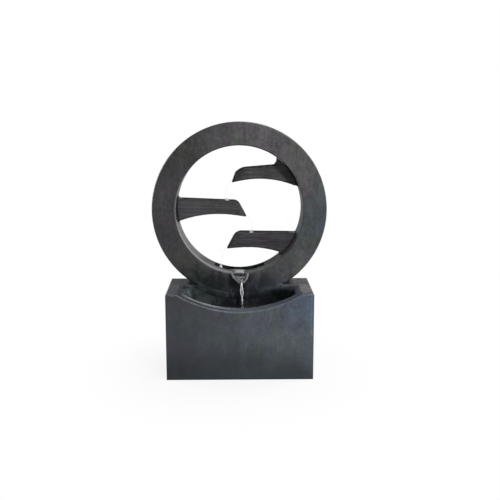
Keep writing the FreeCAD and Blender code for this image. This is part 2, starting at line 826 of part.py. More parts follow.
def hose_passage():
    """Room for the hose where it passes through a wall."""
    return sweep(hose_path(), hose_radius + hose_hole_gap, hose_start, UP)


def make_hose():
    edges = hose_path()
    hose = sweep(edges, hose_radius, hose_start, UP)
    keep("riser_hose", hose.cut(sweep(edges, hose_bore_radius, hose_start, UP)))

    clips = []
    clip_bore = hose_radius + hole_gap
    for angle in clip_angles:
        centre = on_ring(hose_track_radius, angle - 90, hose_y)
        along = ring_direction(angle - 90) * (clip_width / 2)
        outward = (centre - Vec(0, hose_y, ring_z)).normalize()
        band = tube(clip_bore + clip_thickness, clip_bore, centre - along, centre + along)
        foot = rod(clip_foot_radius, centre + outward * (clip_bore + clip_thickness / 2),
                   centre + outward * (ring_outer_radius - ring_wall - seat_gap - hose_track_radius))
        clips.append(band.fuse(foot))
    keep("hose_clips", Part.makeCompound(clips))

    clamps = []
    clamp_bore = hose_radius + fit_gap
    for start, along in ((hose_start + UP * clamp_inset, UP),
                         (hose_end - track_direction * (clamp_inset + clamp_width), track_direction)):
        band = tube(clamp_bore + clamp_thickness, clamp_bore, start, start + along * clamp_width)
        screw_middle = start + along * (clamp_width / 2) - BACK * (clamp_bore + clamp_screw_radius)
        screw_half = along.cross(BACK) * (clamp_screw_length / 2)
        screw = rod(clamp_screw_radius, screw_middle - screw_half, screw_middle + screw_half)
        clamps.append(band.fuse(screw))
    keep("hose_clamps", Part.makeCompound(clamps))


def make_elbow():
    nozzle_tip = on_ring(inlet_reach, inlet_angle, hose_y)
    beyond_tip = on_ring(inlet_reach - past, inlet_angle, hose_y)
    barb_start = elbow_centre - track_direction * (elbow_radius + hose_overlap)
    body = Part.makeSphere(elbow_radius, elbow_centre)
    body = body.fuse([rod(inlet_radius, elbow_centre, nozzle_tip),
                      rod(nozzle_radius, elbow_centre, barb_start)])
    body = body.cut(rod(inlet_bore_radius, elbow_centre, beyond_tip))
    body = body.cut(rod(nozzle_bore_radius, elbow_centre, barb_start - track_direction))
    keep("leaf_inlet_elbow", body)


def make_housing():
    motor_end = volute_back_x + motor_length
    housing = box((volute_back_x, motor_end), centred(hose_y, pump_half_width), (pump_bottom, pump_top))
    housing = round_edges(housing, motor_edge_radius, lambda c: near(c.x, (volute_back_x + motor_end) / 2)
                          and not near(c.y, hose_y) and not near(c.z, motor_z))
    housing = housing.cut(axle(rotor_radius + rotor_gap, (volute_back_x - past, rotor_end_x)))
    housing = housing.cut(axle(bush_radius + fit_gap, (rotor_end_x - past, rotor_end_x + bush_length)))
    gland_z = pump_top - gland_drop
    housing = housing.fuse(rod(gland_radius, Vec(motor_end - past, hose_y, gland_z),
                               Vec(motor_end + gland_length, hose_y, gland_z)))
    for spot in suction_places():
        housing = housing.cut(post(suction_stem_radius + fit_gap, spot.x, spot.y,
                                   (pump_bottom, pump_bottom + suction_stem_depth)))
    keep("pump_housing", housing)


def make_volute():
    volute = box((volute_front_x, volute_back_x), volute_y, volute_z)
    volute = volute.fuse(post(nozzle_radius, pump_x, hose_y, (volute_z[1], nozzle_top)))
    volute = volute.cut(axle(volute_bore, (chamber_x, volute_back_x + past)))
    volute = volute.cut(post(nozzle_bore_radius, pump_x, hose_y,
                             (motor_z + volute_bore - nozzle_bore_radius, nozzle_top + past)))
    eye = axle(eye_radius, (volute_front_x - past, chamber_x + past))
    hub = axle(bush_radius + bush_wall, (volute_front_x, chamber_x))
    arms = box((volute_front_x, volute_front_x + arm_depth), centred(hose_y, eye_radius),
               centred(motor_z, arm_thickness / 2))
    volute = volute.cut(eye.cut(hub).cut(arms))
    volute = volute.cut(axle(bush_radius + fit_gap, (volute_front_x + shaft_inset, chamber_x + past)))
    keep("pump_volute", volute.cut(disc(dial_stem_radius + fit_gap,
                                        (volute_y[1] - dial_stem_length - hole_gap, volute_y[1] + past),
                                        dial_x, motor_z)))


def make_shaft():
    shaft_start = volute_front_x + shaft_inset
    bushes = []
    for start in (shaft_start, rotor_end_x):
        ends = (start, start + bush_length)
        bushes.append(axle(bush_radius, ends).cut(axle(shaft_radius + fit_gap, ends)))
    keep("pump_bushes", Part.makeCompound(bushes))
    keep("pump_shaft", axle(shaft_radius, (shaft_start, rotor_end_x + bush_length)))


def make_rotor():
    disc_x = volute_back_x - impeller_gap - impeller_disc
    blade_x = disc_x - impeller_blade_height
    rotor = axle(rotor_radius, (rotor_x, rotor_x + rotor_length))
    rotor = rotor.fuse(axle(rotor_hub_radius, (blade_x, rotor_x + past)))
    rotor = rotor.fuse(axle(impeller_radius, (disc_x, disc_x + impeller_disc)))
    for index in range(impeller_blades):
        blade = box((blade_x, disc_x + impeller_disc / 2), centred(hose_y, impeller_blade_thickness / 2),
                    (motor_z + rotor_hub_radius / 2, motor_z + impeller_radius - impeller_gap))
        blade.rotate(Vec(0, hose_y, motor_z), RIGHT, 360 * index / impeller_blades)
        rotor = rotor.fuse(blade)
    bore_x = (blade_x - past, rotor_x + rotor_length + past)
    keep("pump_rotor", rotor.cut(axle(shaft_radius + fit_gap, bore_x)))


def make_strainer():
    front_x = volute_front_x - strainer_length
    inner_y = (volute_y[0] - hole_gap, volute_y[1] + hole_gap)
    inner_z = (volute_z[0] - hole_gap, volute_z[1] + hole_gap)
    outer_y = (inner_y[0] - strainer_wall, inner_y[1] + strainer_wall)
    outer_z = (inner_z[0] - strainer_wall, inner_z[1] + strainer_wall)
    skirt_x = volute_front_x + strainer_overlap
    cage = box((front_x, skirt_x), outer_y, outer_z)
    cage = cage.cut(box((front_x + strainer_wall, skirt_x + past), inner_y, inner_z))
    slot_z = (inner_z[0] + strainer_margin, inner_z[1] - strainer_margin)
    count = int((inner_y[1] - inner_y[0] - strainer_slot) / strainer_slot_pitch)
    for index in range(count):
        y = hose_y + (index - (count - 1) / 2) * strainer_slot_pitch
        cage = cage.cut(box((front_x - past, front_x + strainer_slot_run),
                            centred(y, strainer_slot / 2), slot_z))
    for index in range(strainer_side_slots):
        x = front_x + strainer_margin + index * strainer_slot_pitch
        cage = cage.cut(box((x, x + strainer_slot), (outer_y[0] - past, outer_y[1] + past), slot_z))
    keep("pump_strainer", cage)
    keep("pump_sponge", box((front_x + strainer_wall + seat_gap, volute_front_x - seat_gap),
                            (inner_y[0] + seat_gap, inner_y[1] - seat_gap),
                            (inner_z[0] + seat_gap, inner_z[1] - seat_gap)))


def make_dial():
    plate_y = volute_y[1] + seat_gap
    grip_y = plate_y + dial_thickness
    dial = disc(dial_radius, (plate_y, grip_y), dial_x, motor_z)
    grip = box(centred(dial_x, dial_grip_width / 2), (grip_y - past, grip_y + dial_grip_height),
               centred(motor_z, dial_radius - dial_grip_width / 2))
    stem = disc(dial_stem_radius, (volute_y[1] - dial_stem_length, plate_y + past), dial_x, motor_z)
    keep("flow_dial", dial.fuse([grip, stem]))


def suction_places():
    middle = volute_back_x + motor_length / 2
    return [Vec(middle + along * suction_spread, hose_y + across * suction_spread, base_wall)
            for along in (-1, 1) for across in (-1, 1)]


def make_feet():
    feet = []
    for spot in suction_places():
        cup = Part.makeCone(suction_radius, suction_neck_radius, suction_cup_height, spot + UP * seat_gap)
        hollow = Part.makeCone(suction_radius - suction_cup_wall, suction_neck_radius - suction_cup_wall,
                               suction_cup_height - suction_cup_wall, spot + UP * seat_gap)
        stem = post(suction_stem_radius, spot.x, spot.y,
                    (base_wall + suction_cup_height - past, pump_bottom + suction_stem_depth - seat_gap))
        collar = post(suction_collar_radius, spot.x, spot.y,
                      (pump_bottom - suction_collar_height, pump_bottom))
        feet.append(cup.cut(hollow).fuse([stem, collar]))
    keep("pump_feet", Part.makeCompound(feet))


def make_door():
    z = (door_bottom + door_gap, door_top - door_gap)
    free_x = door_half_width - door_gap
    plate = box((hinge_x, free_x), (door_front_y, back_y), z)
    plate = plate.fuse(post(door_thickness / 2, hinge_x, hinge_y, z))
    plate = plate.cut(disc(door_notch_radius, (door_front_y + door_notch_web, back_y + past),
                           free_x, (z[0] + z[1]) / 2))
    rib_x = (-door_half_width + door_ledge + door_hinge_inset, door_half_width - door_ledge - door_rib_inset)
    lowest = door_bottom + door_ledge + door_rib_inset
    highest = door_top - door_ledge - door_rib_inset - door_rib_thickness
    for index in range(door_rib_count):
        rib_z = lowest + (highest - lowest) * index / (door_rib_count - 1)
        plate = plate.fuse(box(rib_x, (door_front_y - door_rib_height, door_front_y + past),
                               (rib_z, rib_z + door_rib_thickness)))
    for pin_z in (z[0], z[1] - door_pin_length / 2):
        plate = plate.cut(post(door_pin_radius + fit_gap, hinge_x, hinge_y,
                               (pin_z, pin_z + door_pin_length / 2)))
    magnets, strikes = [], []
    strike_y = (door_front_y, door_front_y + strike_thickness)
    for height in magnet_heights:
        plate = plate.cut(disc(strike_radius + fit_gap, (door_front_y - past, strike_y[1]), magnet_x, height))
        strikes.append(disc(strike_radius, strike_y, magnet_x, height))
        magnets.append(disc(magnet_radius, (door_seat_y - magnet_thickness, door_seat_y), magnet_x, height))
    keep("access_door", plate)
    keep("door_strikes", Part.makeCompound(strikes))
    keep("door_magnets", Part.makeCompound(magnets))
    pins = []
    half = door_pin_length / 2
    for start, end in ((door_bottom - half, door_bottom + half - door_gap),
                       (door_top - half + door_gap, door_top + half)):
        pins.append(post(door_pin_radius, hinge_x, hinge_y, (start, end)))
    keep("door_pins", Part.makeCompound(pins))


def make_grommet():
    outer = disc(grommet_flange_radius, (back_y - grommet_flange, back_y), grommet_x, grommet_z)
    neck = disc(grommet_neck_radius - fit_gap, (inner_back_y - past, back_y - past), grommet_x, grommet_z)
    inner = disc(grommet_flange_radius - past, (inner_back_y - grommet_lip, inner_back_y - hole_gap),
                 grommet_x, grommet_z)
    bore = disc(grommet_bore_radius, (inner_back_y - grommet_lip - past, back_y + past), grommet_x, grommet_z)
    keep("cord_grommet", outer.fuse([neck, inner]).cut(bore))


def make_drain():
    head_y = back_y - drain_head_height
    head = disc(drain_head_radius, (head_y, back_y), drain_x, drain_z)
    shank = disc(drain_radius - fit_gap, (inner_back_y - drain_boss_depth, head_y + past), drain_x, drain_z)
    slot = box(centred(drain_x, drain_head_radius - drain_slot_inset),
               (back_y - drain_slot_depth, back_y + past), centred(drain_z, drain_slot_width / 2))
    keep("drain_plug", head.fuse(shank).cut(slot))
    seal_y = (head_y - seal_thickness, head_y - fit_gap)
    keep("drain_seal", disc(drain_head_radius - seal_inset, seal_y, drain_x, drain_z).cut(
        disc(drain_radius + 2 * fit_gap, seal_y, drain_x, drain_z)))


def build():
    make_base()
    make_screen()
    make_ring()
    make_ring_cover()
    make_gasket()
    make_ring_fasteners()
    make_spout()
    for name, shape in leaf_shapes.items():
        make_leaf(name, shape)
    make_hose()
    make_elbow()
    make_housing()
    make_volute()
    make_shaft()
    make_rotor()
    make_strainer()
    make_dial()
    make_feet()
    make_door()
    make_grommet()
    make_drain()
    os.makedirs("parts", exist_ok=True)
    for name, shape in SHAPES.items():
        volume = round(shape.Volume / 1000, 2)
        print(name, "solids", len(shape.Solids), "valid", shape.isValid(), "cm3", volume)
        shape.exportStep("parts/" + name + ".step")


build()
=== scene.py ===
import json
import math
import random

import bmesh
import bpy
from mathutils import Matrix, Vector, noise


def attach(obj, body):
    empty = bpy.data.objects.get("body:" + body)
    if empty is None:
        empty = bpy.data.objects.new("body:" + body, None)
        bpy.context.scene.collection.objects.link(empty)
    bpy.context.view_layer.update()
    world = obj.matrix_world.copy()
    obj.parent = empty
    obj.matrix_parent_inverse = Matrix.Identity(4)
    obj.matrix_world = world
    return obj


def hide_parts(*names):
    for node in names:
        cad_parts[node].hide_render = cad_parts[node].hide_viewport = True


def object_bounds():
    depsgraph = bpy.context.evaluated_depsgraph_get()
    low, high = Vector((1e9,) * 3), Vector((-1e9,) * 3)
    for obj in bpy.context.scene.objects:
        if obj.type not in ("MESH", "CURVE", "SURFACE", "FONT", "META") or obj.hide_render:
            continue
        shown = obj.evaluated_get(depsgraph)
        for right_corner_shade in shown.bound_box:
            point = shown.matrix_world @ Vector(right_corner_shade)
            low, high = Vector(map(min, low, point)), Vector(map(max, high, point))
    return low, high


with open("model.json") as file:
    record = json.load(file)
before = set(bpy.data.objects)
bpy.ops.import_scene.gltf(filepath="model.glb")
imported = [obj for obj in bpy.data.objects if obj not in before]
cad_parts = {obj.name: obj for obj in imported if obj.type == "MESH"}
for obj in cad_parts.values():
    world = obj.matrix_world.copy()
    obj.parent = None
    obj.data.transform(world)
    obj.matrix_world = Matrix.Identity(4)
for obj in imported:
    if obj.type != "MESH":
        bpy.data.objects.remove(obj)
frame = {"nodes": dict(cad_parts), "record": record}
nodes = frame["nodes"]
cad_low, cad_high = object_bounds()
random.seed(7)

# Sizes that the looks share with the solids, in metres. The frame gives the overall ones.
BACK = round(cad_high.y, 5)
BASE_FRONT = round(cad_low.y, 5)
RING_OUTER = round(cad_high.x, 5)
RING_Z = round(cad_high.z, 5) - RING_OUTER
RING_WIDTH = 0.076
RING_THICKNESS = 0.118
RING_SINK = 0.0355
RING_INNER = RING_OUTER - RING_WIDTH
RING_FRONT = BACK - RING_THICKNESS
BASE_TOP = RING_Z - RING_OUTER + RING_SINK

RIM_DEPTH = 0.045
BOWL_DEPTH = 0.092
BOWL_HALF = 0.184
BOWL_FLOOR_HALF = 0.150
BOWL_DRAFT = 0.008
BOWL_CORNER = 0.016
BOWL_FRONT = BASE_FRONT + RIM_DEPTH
BOWL_FLOOR = BASE_TOP - BOWL_DEPTH

POOL_DEPTH = 0.020
POOL_FRONT_RIM = 0.055
POOL_BACK_RIM = 0.009
POOL_FRONT = RING_FRONT + POOL_FRONT_RIM
POOL_BACK = BACK - POOL_BACK_RIM
POOL_FLOOR_RADIUS = RING_INNER + POOL_DEPTH
OUTLET_DEPTH = 0.009
OUTLET_HALF = 0.017
OUTLET_Z = RING_Z - RING_INNER - OUTLET_DEPTH

LEAF_DEPTH = 0.050
LEAF_BACK_INSET = 0.007
LEAF_WALL = 0.007
LEAF_FLOOR = 0.008
LEAF_ROOT_WALL = 0.014
LEAF_TAPER = 0.055
LEAF_LIP_HEIGHT = 0.0025
LEAF_LIP_OVERRUN = 0.006
LEAF_Y = BACK - LEAF_BACK_INSET - LEAF_DEPTH / 2

# Each leaf grows from one side of the ring. Its tip and the crown of its underside are X and Z from the
# ring's centre, as they are on a leaf that grows from the right.
LEAVES = {
    "leaf_upper": dict(side=1, tip=(-0.0255, 0.086), crown=(0.066, 0.0975)),
    "leaf_middle": dict(side=-1, tip=(-0.024, -0.0285), crown=(0.088, -0.020)),
    "leaf_lower": dict(side=1, tip=(-0.0425, -0.137), crown=(0.046, -0.1325)),
}

# The beak spout, whose tip was set a little to the right. The pairs are values at its root and at its tip.
SPOUT_REACH = 0.036
SPOUT_TIP = RING_FRONT - SPOUT_REACH
SPOUT_X = 0.005
BEAK_HALF = (0.0165, 0.0050)
BEAK_BED = (0.3062, 0.2918)

# Water levels, and the gap that water keeps from the walls
BOWL_WATER = 0.2135
POOL_WATER = 0.3145
OUTLET_WATER = 0.3128
BEAK_WATER = (0.3108, 0.2945)
STREAM_TOP = 0.2950
LANDING = Vector((0.009, -0.0335))
CLEAR = 0.0004


# Node helpers

class Graph:
    """Builds the nodes of a material or world. An input takes a number, a tuple or another node's output."""

    def __init__(self, owner, output="OutputMaterial"):
        self.owner = owner
        owner.use_nodes = True
        self.tree = owner.node_tree
        self.tree.nodes.clear()
        self.output = self.node(output)

    def node(self, kind, inputs=None, **settings):
        made = self.tree.nodes.new("ShaderNode" + kind)
        for key, value in settings.items():
            setattr(made, key, value)
        for key, value in (inputs or {}).items():
            self.put(made.inputs[key], value)
        return made

    def put(self, socket, value):
        if isinstance(value, bpy.types.NodeSocket):
            self.tree.links.new(value, socket)
        elif isinstance(value, tuple) and len(value) == 3 and socket.type == "RGBA":
            socket.default_value = (*value, 1.0)
        else:
            socket.default_value = value

    def math(self, operation, a, b=0.0):
        return self.node("Math", {0: a, 1: b}, operation=operation).outputs[0]

    def chain(self, operation, values):
        total = values[0]
        for value in values[1:]:
            total = self.math(operation, total, value)
        return total

    def times(self, *values):
        return self.chain("MULTIPLY", values)

    def most(self, *values):
        return self.chain("MAXIMUM", values)

    def blend(self, *shares):
        """Sum of values times their weights, given as (value, weight) pairs."""
        return self.chain("ADD", [self.math("MULTIPLY", value, weight) for value, weight in shares])

    def past(self, value, middle=0.5):
        """How far a value is past a middle, below zero where it falls short."""
        return self.math("SUBTRACT", value, middle)

    def off(self, value, middle):
        """How far a value is from a middle, to either side."""
        return self.math("ABSOLUTE", self.past(value, middle))

    def distance(self, *gaps):
        """Distance from a place, each axis given as (coordinate, place, weight)."""
        squares = [(self.math("POWER", self.past(value, place), 2.0), weight)
                   for value, place, weight in gaps]
        return self.math("SQRT", self.blend(*squares))

    def span(self, value, low, high, to_low=0.0, to_high=1.0, shape="SMOOTHSTEP"):
        """Maps low to to_low and high to to_high, clamped."""
        made = self.node("MapRange", {"Value": value, "From Min": low, "From Max": high, "To Min": to_low,
                                      "To Max": to_high}, interpolation_type=shape)
        return made.outputs["Result"]

    def ramp(self, factor, stops):
        made = self.node("ValToRGB", {"Fac": factor})
        elements = made.color_ramp.elements
        while len(elements) < len(stops):
            elements.new(0.5)
        for element, (place, colour) in zip(elements, stops):
            element.position = place
            element.color = (*colour, 1.0)
        return made.outputs["Color"]

    def mix(self, factor, a, b, blend="MIX"):
        made = self.node("Mix", data_type="RGBA", blend_type=blend)
        # For colours, the Mix node has its factor and inputs at 0, 6 and 7, and its result at 2.
        for index, value in ((0, factor), (6, a), (7, b)):
            self.put(made.inputs[index], value)
        return made.outputs[2]

    def shade(self, factor, base, colour):
        """Multiplies a colour by another as far as the factor says."""
        return self.mix(factor, base, colour, "MULTIPLY")

    def noise(self, vector, scale, detail=4.0, rough=0.5, distortion=0.0):
        made = self.node("TexNoise", {"Vector": vector, "Scale": scale, "Detail": detail, "Roughness": rough,
                                      "Distortion": distortion})
        return made.outputs["Fac"]

    def dot(self, a, b):
        return self.node("VectorMath", {0: a, 1: b}, operation="DOT_PRODUCT").outputs["Value"]

    def place(self, scale=(1, 1, 1), shift=(0, 0, 0)):
        """Row-frame position in metres, scaled and shifted."""
        spot = self.node("TexCoord").outputs["Object"]
        return self.node("Mapping", {"Vector": spot, "Location": shift, "Scale": scale}).outputs["Vector"]

    def axes(self):
        return self.node("SeparateXYZ", {0: self.node("TexCoord").outputs["Object"]}).outputs

    def rounded(self, radius, samples):
        """The surface's normal, with edges rounded off."""
        return self.node("Bevel", {"Radius": radius}, samples=samples).outputs["Normal"]

    def bump(self, height, strength, distance, normal=None):
        made = self.node("Bump", {"Height": height, "Strength": strength, "Distance": distance})
        if normal is not None:
            self.put(made.inputs["Normal"], normal)
        return made.outputs["Normal"]

    def surface(self, shader):
        self.put(self.output.inputs["Surface"], shader)

    def principled(self, **inputs):
        sockets = {key.replace("_", " "): value for key, value in inputs.items()}
        self.surface(self.node("BsdfPrincipled", sockets).outputs["BSDF"])


# Cast resin

class CastResin(Graph):
    """Dark stone-look resin. Most steps take the colour so far and return it with one kind of mark, painted
    light or painted shade added.
    """

    def __init__(self, name, brush, seed, wear_radius, stain):
        super().__init__(bpy.data.materials.new(name))
        self.x, self.y, self.z = self.axes()
        self.aside = self.math("ABSOLUTE", self.x)
        self.rounded_normal = self.rounded(wear_radius, 6)
        self.upward = self.node("SeparateXYZ", {0: self.rounded_normal}).outputs["Z"]
        # Brush streaks, then unevenness from fine to broad
        shift = (seed * 1.7, seed * 0.9, seed * 2.3)
        self.streak = self.noise(self.place(brush, shift), 1.0, 4.0, 0.62, 0.3)
        self.speck = self.noise(self.place((1, 1, 1), shift), 520.0, 3.0, 0.7)
        self.grain = self.noise(self.place((1, 1, 0.8), shift), 230.0, 3.0, 0.65)
        self.mottle = self.noise(self.place((1, 1, 0.7), shift), 75.0, 5.0, 0.66, 0.6)
        self.blotch = self.noise(self.place((1, 1, 0.75), shift), 24.0, 5.0, 0.60, 0.8)
        self.broad = self.noise(self.place((1, 1, 0.7), shift), 7.0, 3.0, 0.5, 0.9)
        self.hue = self.noise(self.place((1, 1, 1), (5.3 + seed, 2.1, 7.7)), 7.0, 4.0, 0.6, 0.8)
        self.find_places(stain)

    def find_places(self, stain):
        """Finds the bowl, the ring's inner wall and what the water from the pool wets.
        stain is how much of the wetting, marks, painted light and painted shade behind the basin's rim show.
        """
        x, y, z = self.x, self.y, self.z
        from_axis = self.distance((x, 0.0, 1.0), (z, RING_Z, 1.0))
        self.inner_wall = self.span(from_axis, RING_INNER + 0.0018, RING_INNER + 0.0006)
        on_ring = self.span(from_axis, RING_OUTER + 0.0050, RING_OUTER + 0.0015)
        self.behind = self.times(self.span(y, BOWL_FRONT, BOWL_FRONT + BOWL_DRAFT), stain)
        self.on_front = self.span(y, BASE_FRONT + 0.015, BASE_FRONT + 0.001)
        self.cavity = self.times(self.span(y, RING_FRONT + 0.027, RING_FRONT + 0.009),
                                 self.span(self.aside, BOWL_HALF + 0.009, BOWL_HALF + 0.003))
        self.below_deck = self.times(self.span(z, BASE_TOP - 0.002, BASE_TOP - 0.022), self.cavity)
        self.in_bowl = self.times(self.below_deck, self.span(x, -0.180, -0.060, 0.25, 1.0))
        wander = self.blend((self.past(self.blotch), 0.07), (self.past(self.broad), 0.07))
        below_pool = self.times(self.span(self.math("ADD", z, wander), 0.365, 0.292),
                                self.span(self.off(x, -0.040), 0.205, 0.080), self.most(on_ring, self.cavity))
        # Where water wets the castings; the darkening it brings there is partly painted shade.
        self.wet_and_shaded = self.times(self.most(below_pool, self.in_bowl), self.behind)

    def near(self, place_x, place_z, outer, inner, weights=(1.0, 1.0)):
        """1 within inner of a place, seen from the front, and 0 beyond outer."""
        away = self.distance((self.x, place_x, weights[0]), (self.z, place_z, weights[1]))
        return self.span(away, outer, inner)

    def mottled(self, streaks, spread):
        rest = 1.0 - streaks
        tone = self.blend((self.streak, streaks), (self.grain, rest * 0.17), (self.mottle, rest * 0.31),
                          (self.blotch, rest * 0.29), (self.broad, rest * 0.23))
        greys = ((-0.12, 0.032), (-0.04, 0.060), (0.04, 0.086), (0.13, 0.140))
        base = self.ramp(tone, [(0.5 + spread * from_middle, (grey, grey, grey * 1.025))
                                for from_middle, grey in greys])
        return self.mix(self.span(self.grain, 0.62, 0.72, 0.0, 0.45), base, (0.20, 0.20, 0.205))

    def patched(self, base, patches):
        """Patches of olive, purple and blue grey, the blue mostly low down and on the right."""
        base = self.shade(self.span(self.hue, 0.51, 0.59, 0.0, patches), base, (0.97, 1.03, 0.86))
        base = self.shade(self.span(self.hue, 0.50, 0.42, 0.0, patches), base, (1.05, 0.93, 1.035))
        lean = self.past(self.blend((self.x, 0.8), (self.past(self.hue), 0.5)), self.z)
        blue = self.times(self.span(lean, -0.46, -0.26),
                          self.span(self.off(self.z, 0.370), 0.050, 0.085, 0.20, 1.0))
        return self.shade(blue, base, (0.82, 1.0, 1.18))

    def painted_side_shade(self, base, root):
        """Painted shade: darker on the left, most of all low down and at the ring's crown, and on the ring's
        right limb.
        root scales the leaves towards their roots; above 1 it is painted light where the ring's shadow falls.
        """
        x, z = self.x, self.z
        low_left = self.times(self.span(x, -0.10, -0.20), self.span(z, 0.30, 0.26))
        crown = self.times(self.span(x, -0.06, -0.14), self.span(z, 0.60, 0.68))
        limb = self.times(self.span(x, 0.14, 0.24), self.span(self.off(z, 0.49), 0.16, 0.04))
        for factor, colour in ((self.span(x, 0.10, -0.22), (0.61, 0.61, 0.64)),
                               (low_left, (0.85, 0.87, 0.91)),
                               (crown, (0.80, 0.80, 0.80)),
                               (limb, (0.70, 0.74, 0.78)),
                               (self.span(self.aside, 0.080, 0.150), (root, root, root))):
            base = self.shade(factor, base, colour)
        return base

    def wet_and_painted_bowl(self, base):
        """Water has darkened the ring's foot, the bowl and what hangs below the pool, partly as painted
        shade. The bowl's left gets painted light and its right side painted shade.
        """
        patchy = self.span(self.blotch, 0.42, 0.58)
        outward = self.blend((self.aside, 1.0), (self.past(self.z, 0.25), 1.1), (self.past(self.hue), 0.35))
        film = self.mix(self.span(outward, 0.03, 0.10), (0.42, 0.45, 0.50), (0.35, 0.46, 0.41))
        # Painted light: the bowl's film is paler towards the left.
        film = self.mix(self.times(self.in_bowl, self.span(self.x, -0.03, -0.12)), film, (0.56, 0.70, 0.66))
        film = self.shade(1.0, film, self.mix(patchy, (0.66, 0.66, 0.72), (1.38, 1.36, 1.30)))
        # Darkening by water, partly painted shade.
        even = self.mix(self.times(self.wet_and_shaded, 0.6), base, (0.066, 0.067, 0.070))
        base = self.mix(self.wet_and_shaded, base, self.shade(1.0, even, film))
        # Painted light on the bowl's left wall.
        left_wall_light = self.times(self.span(self.x, -0.050, -0.130, 0.0, 0.75), self.below_deck, self.behind)
        base = self.mix(left_wall_light, base, self.mix(patchy, (0.036, 0.048, 0.050), (0.088, 0.106, 0.106)))
        # Painted shade on the bowl's right side.
        right_corner_shade = self.times(self.span(self.x, 0.05, 0.14), self.in_bowl, self.behind)
        return self.shade(right_corner_shade, base, (0.40, 0.38, 0.36))

    def painted_shadow_and_glints(self, base):
        """Painted shadow of the spout on the wall just left of it, and pale painted glints of ripple light
        left of the stream.
        """
        # Painted shadow that the spout casts to its left.
        mark = self.times(self.near(-0.024, 0.297, 0.030, 0.012, (1.35 ** 2, 1.0)), self.behind)
        base = self.shade(mark, base, (0.19, 0.14, 0.14))
        # Painted glints: pale blobs of reflected ripple light on the bowl's back wall.
        painted_tone = self.times(self.near(-0.024, 0.240, 0.036, 0.012), self.span(self.mottle, 0.50, 0.62),
                          self.cavity, self.behind, 0.75)
        return self.mix(painted_tone, base, (0.095, 0.098, 0.115))

    def painted_lights_and_deck_shade(self, base, painted_key_light):
        """Painted light on the ring's inner wall, the right of the deck, the rim edge, the bowl's ends and
        the spout, and painted shade at the deck's left end.
        """
        x, y, z = self.x, self.y, self.z
        mottled = self.span(self.mottle, 0.44, 0.57)
        cool_painted_light = self.mix(mottled, (0.026, 0.031, 0.034), (0.096, 0.114, 0.122))
        left_deck_painted_shade = self.mix(mottled, (0.012, 0.015, 0.017), (0.060, 0.070, 0.075))
        right_deck_painted_light = self.mix(mottled, (0.030, 0.028, 0.030), (0.122, 0.116, 0.123))
        # Painted light on the lower left of the ring's inner wall, near its front.
        lip = self.times(self.inner_wall, self.span(z, 0.68, 0.60), self.span(y, 0.050, 0.020),
                         self.span(x, 0.02, -0.10, 0.05, 0.85))
        # The deck gets painted light on its right and painted shade at its left end.
        deck = self.times(self.span(self.upward, 0.80, 0.95),
                          self.span(z, BASE_TOP - 0.008, BASE_TOP - 0.002))
        # Painted highlight along the left of the rim's front edge.
        rim_edge_highlight = self.times(self.span(self.upward, 0.60, 0.85),
                              self.span(y, BOWL_FRONT - 0.024, BOWL_FRONT - 0.010),
                              self.span(y, BOWL_FRONT + 0.020, BOWL_FRONT + 0.010),
                              self.span(x, 0.02, -0.09), self.span(x, -0.192, -0.176),
                              self.span(self.mottle, 0.40, 0.56, 0.25, 0.9))
        # Painted light on the upper part of the bowl's left end wall.
        left_end_painted_light = self.times(self.span(x, -0.150, -0.168), self.span(z, 0.236, 0.256), self.behind,
                              self.cavity, self.span(z, BASE_TOP - 0.0004, BASE_TOP - 0.0010))
        for factor, painted_tone in ((lip, (0.205, 0.198, 0.212)),
                             (self.times(deck, self.span(x, 0.0, 0.15)), right_deck_painted_light),
                             (self.times(deck, self.span(x, -0.15, -0.175, 0.0, 0.80)), left_deck_painted_shade),
                             (rim_edge_highlight, (0.26, 0.28, 0.29)),
                             (left_end_painted_light, cool_painted_light)):
            base = self.mix(factor, base, painted_tone)
        # Painted light: mottled pale patches beside the ring's foot at both ends of the bowl.
        for place_x, place_z in ((-0.156, 0.272), (0.152, 0.284)):
            light_patch = self.times(self.near(place_x, place_z, 0.030, 0.0105), self.span(self.blotch, 0.44, 0.56),
                               self.span(y, 0.110, 0.070), self.behind, 0.75)
            base = self.mix(light_patch, base, cool_painted_light)
        # On the spout, painted light whitens the faces that look up and to the right.
        facing_light = self.span(self.dot(self.rounded_normal, (0.76, -0.10, 0.64)), 0.30, 0.62)
        return self.mix(self.times(facing_light, painted_key_light), base, (0.165, 0.165, 0.170))

    def front_marks(self, base):
        """The upper right of the basin's front is a lighter blue, with a rubbed upright line below it."""
        blue = self.times(self.near(0.200, 0.262, 0.100, 0.030, (1.0, 0.6)), self.on_front,
                          self.span(self.blotch, 0.40, 0.52, 0.5, 1.0))
        base = self.shade(blue, base, (1.10, 1.34, 1.45))
        rubbed = self.times(self.span(self.x, 0.2215, 0.2240), self.span(self.x, 0.2290, 0.2265),
                            self.span(self.z, 0.100, 0.150), self.on_front,
                            self.span(self.mottle, 0.40, 0.55, 0.6, 1.0))
        return self.shade(rubbed, base, (1.45, 1.45, 1.42))

    def painted_low_shade(self, base):
        """Painted shade darkens the foot, reaching highest in the middle."""
        height = self.math("ADD", self.z, self.blend((self.past(self.broad), 0.09), (self.aside, 0.16)))
        base = self.shade(self.span(height, 0.155, 0.040), base, (0.27, 0.335, 0.355))
        # Painted contact shade just above the floor.
        return self.shade(self.span(self.z, 0.007, 0.003), base, (0.40, 0.42, 0.42))

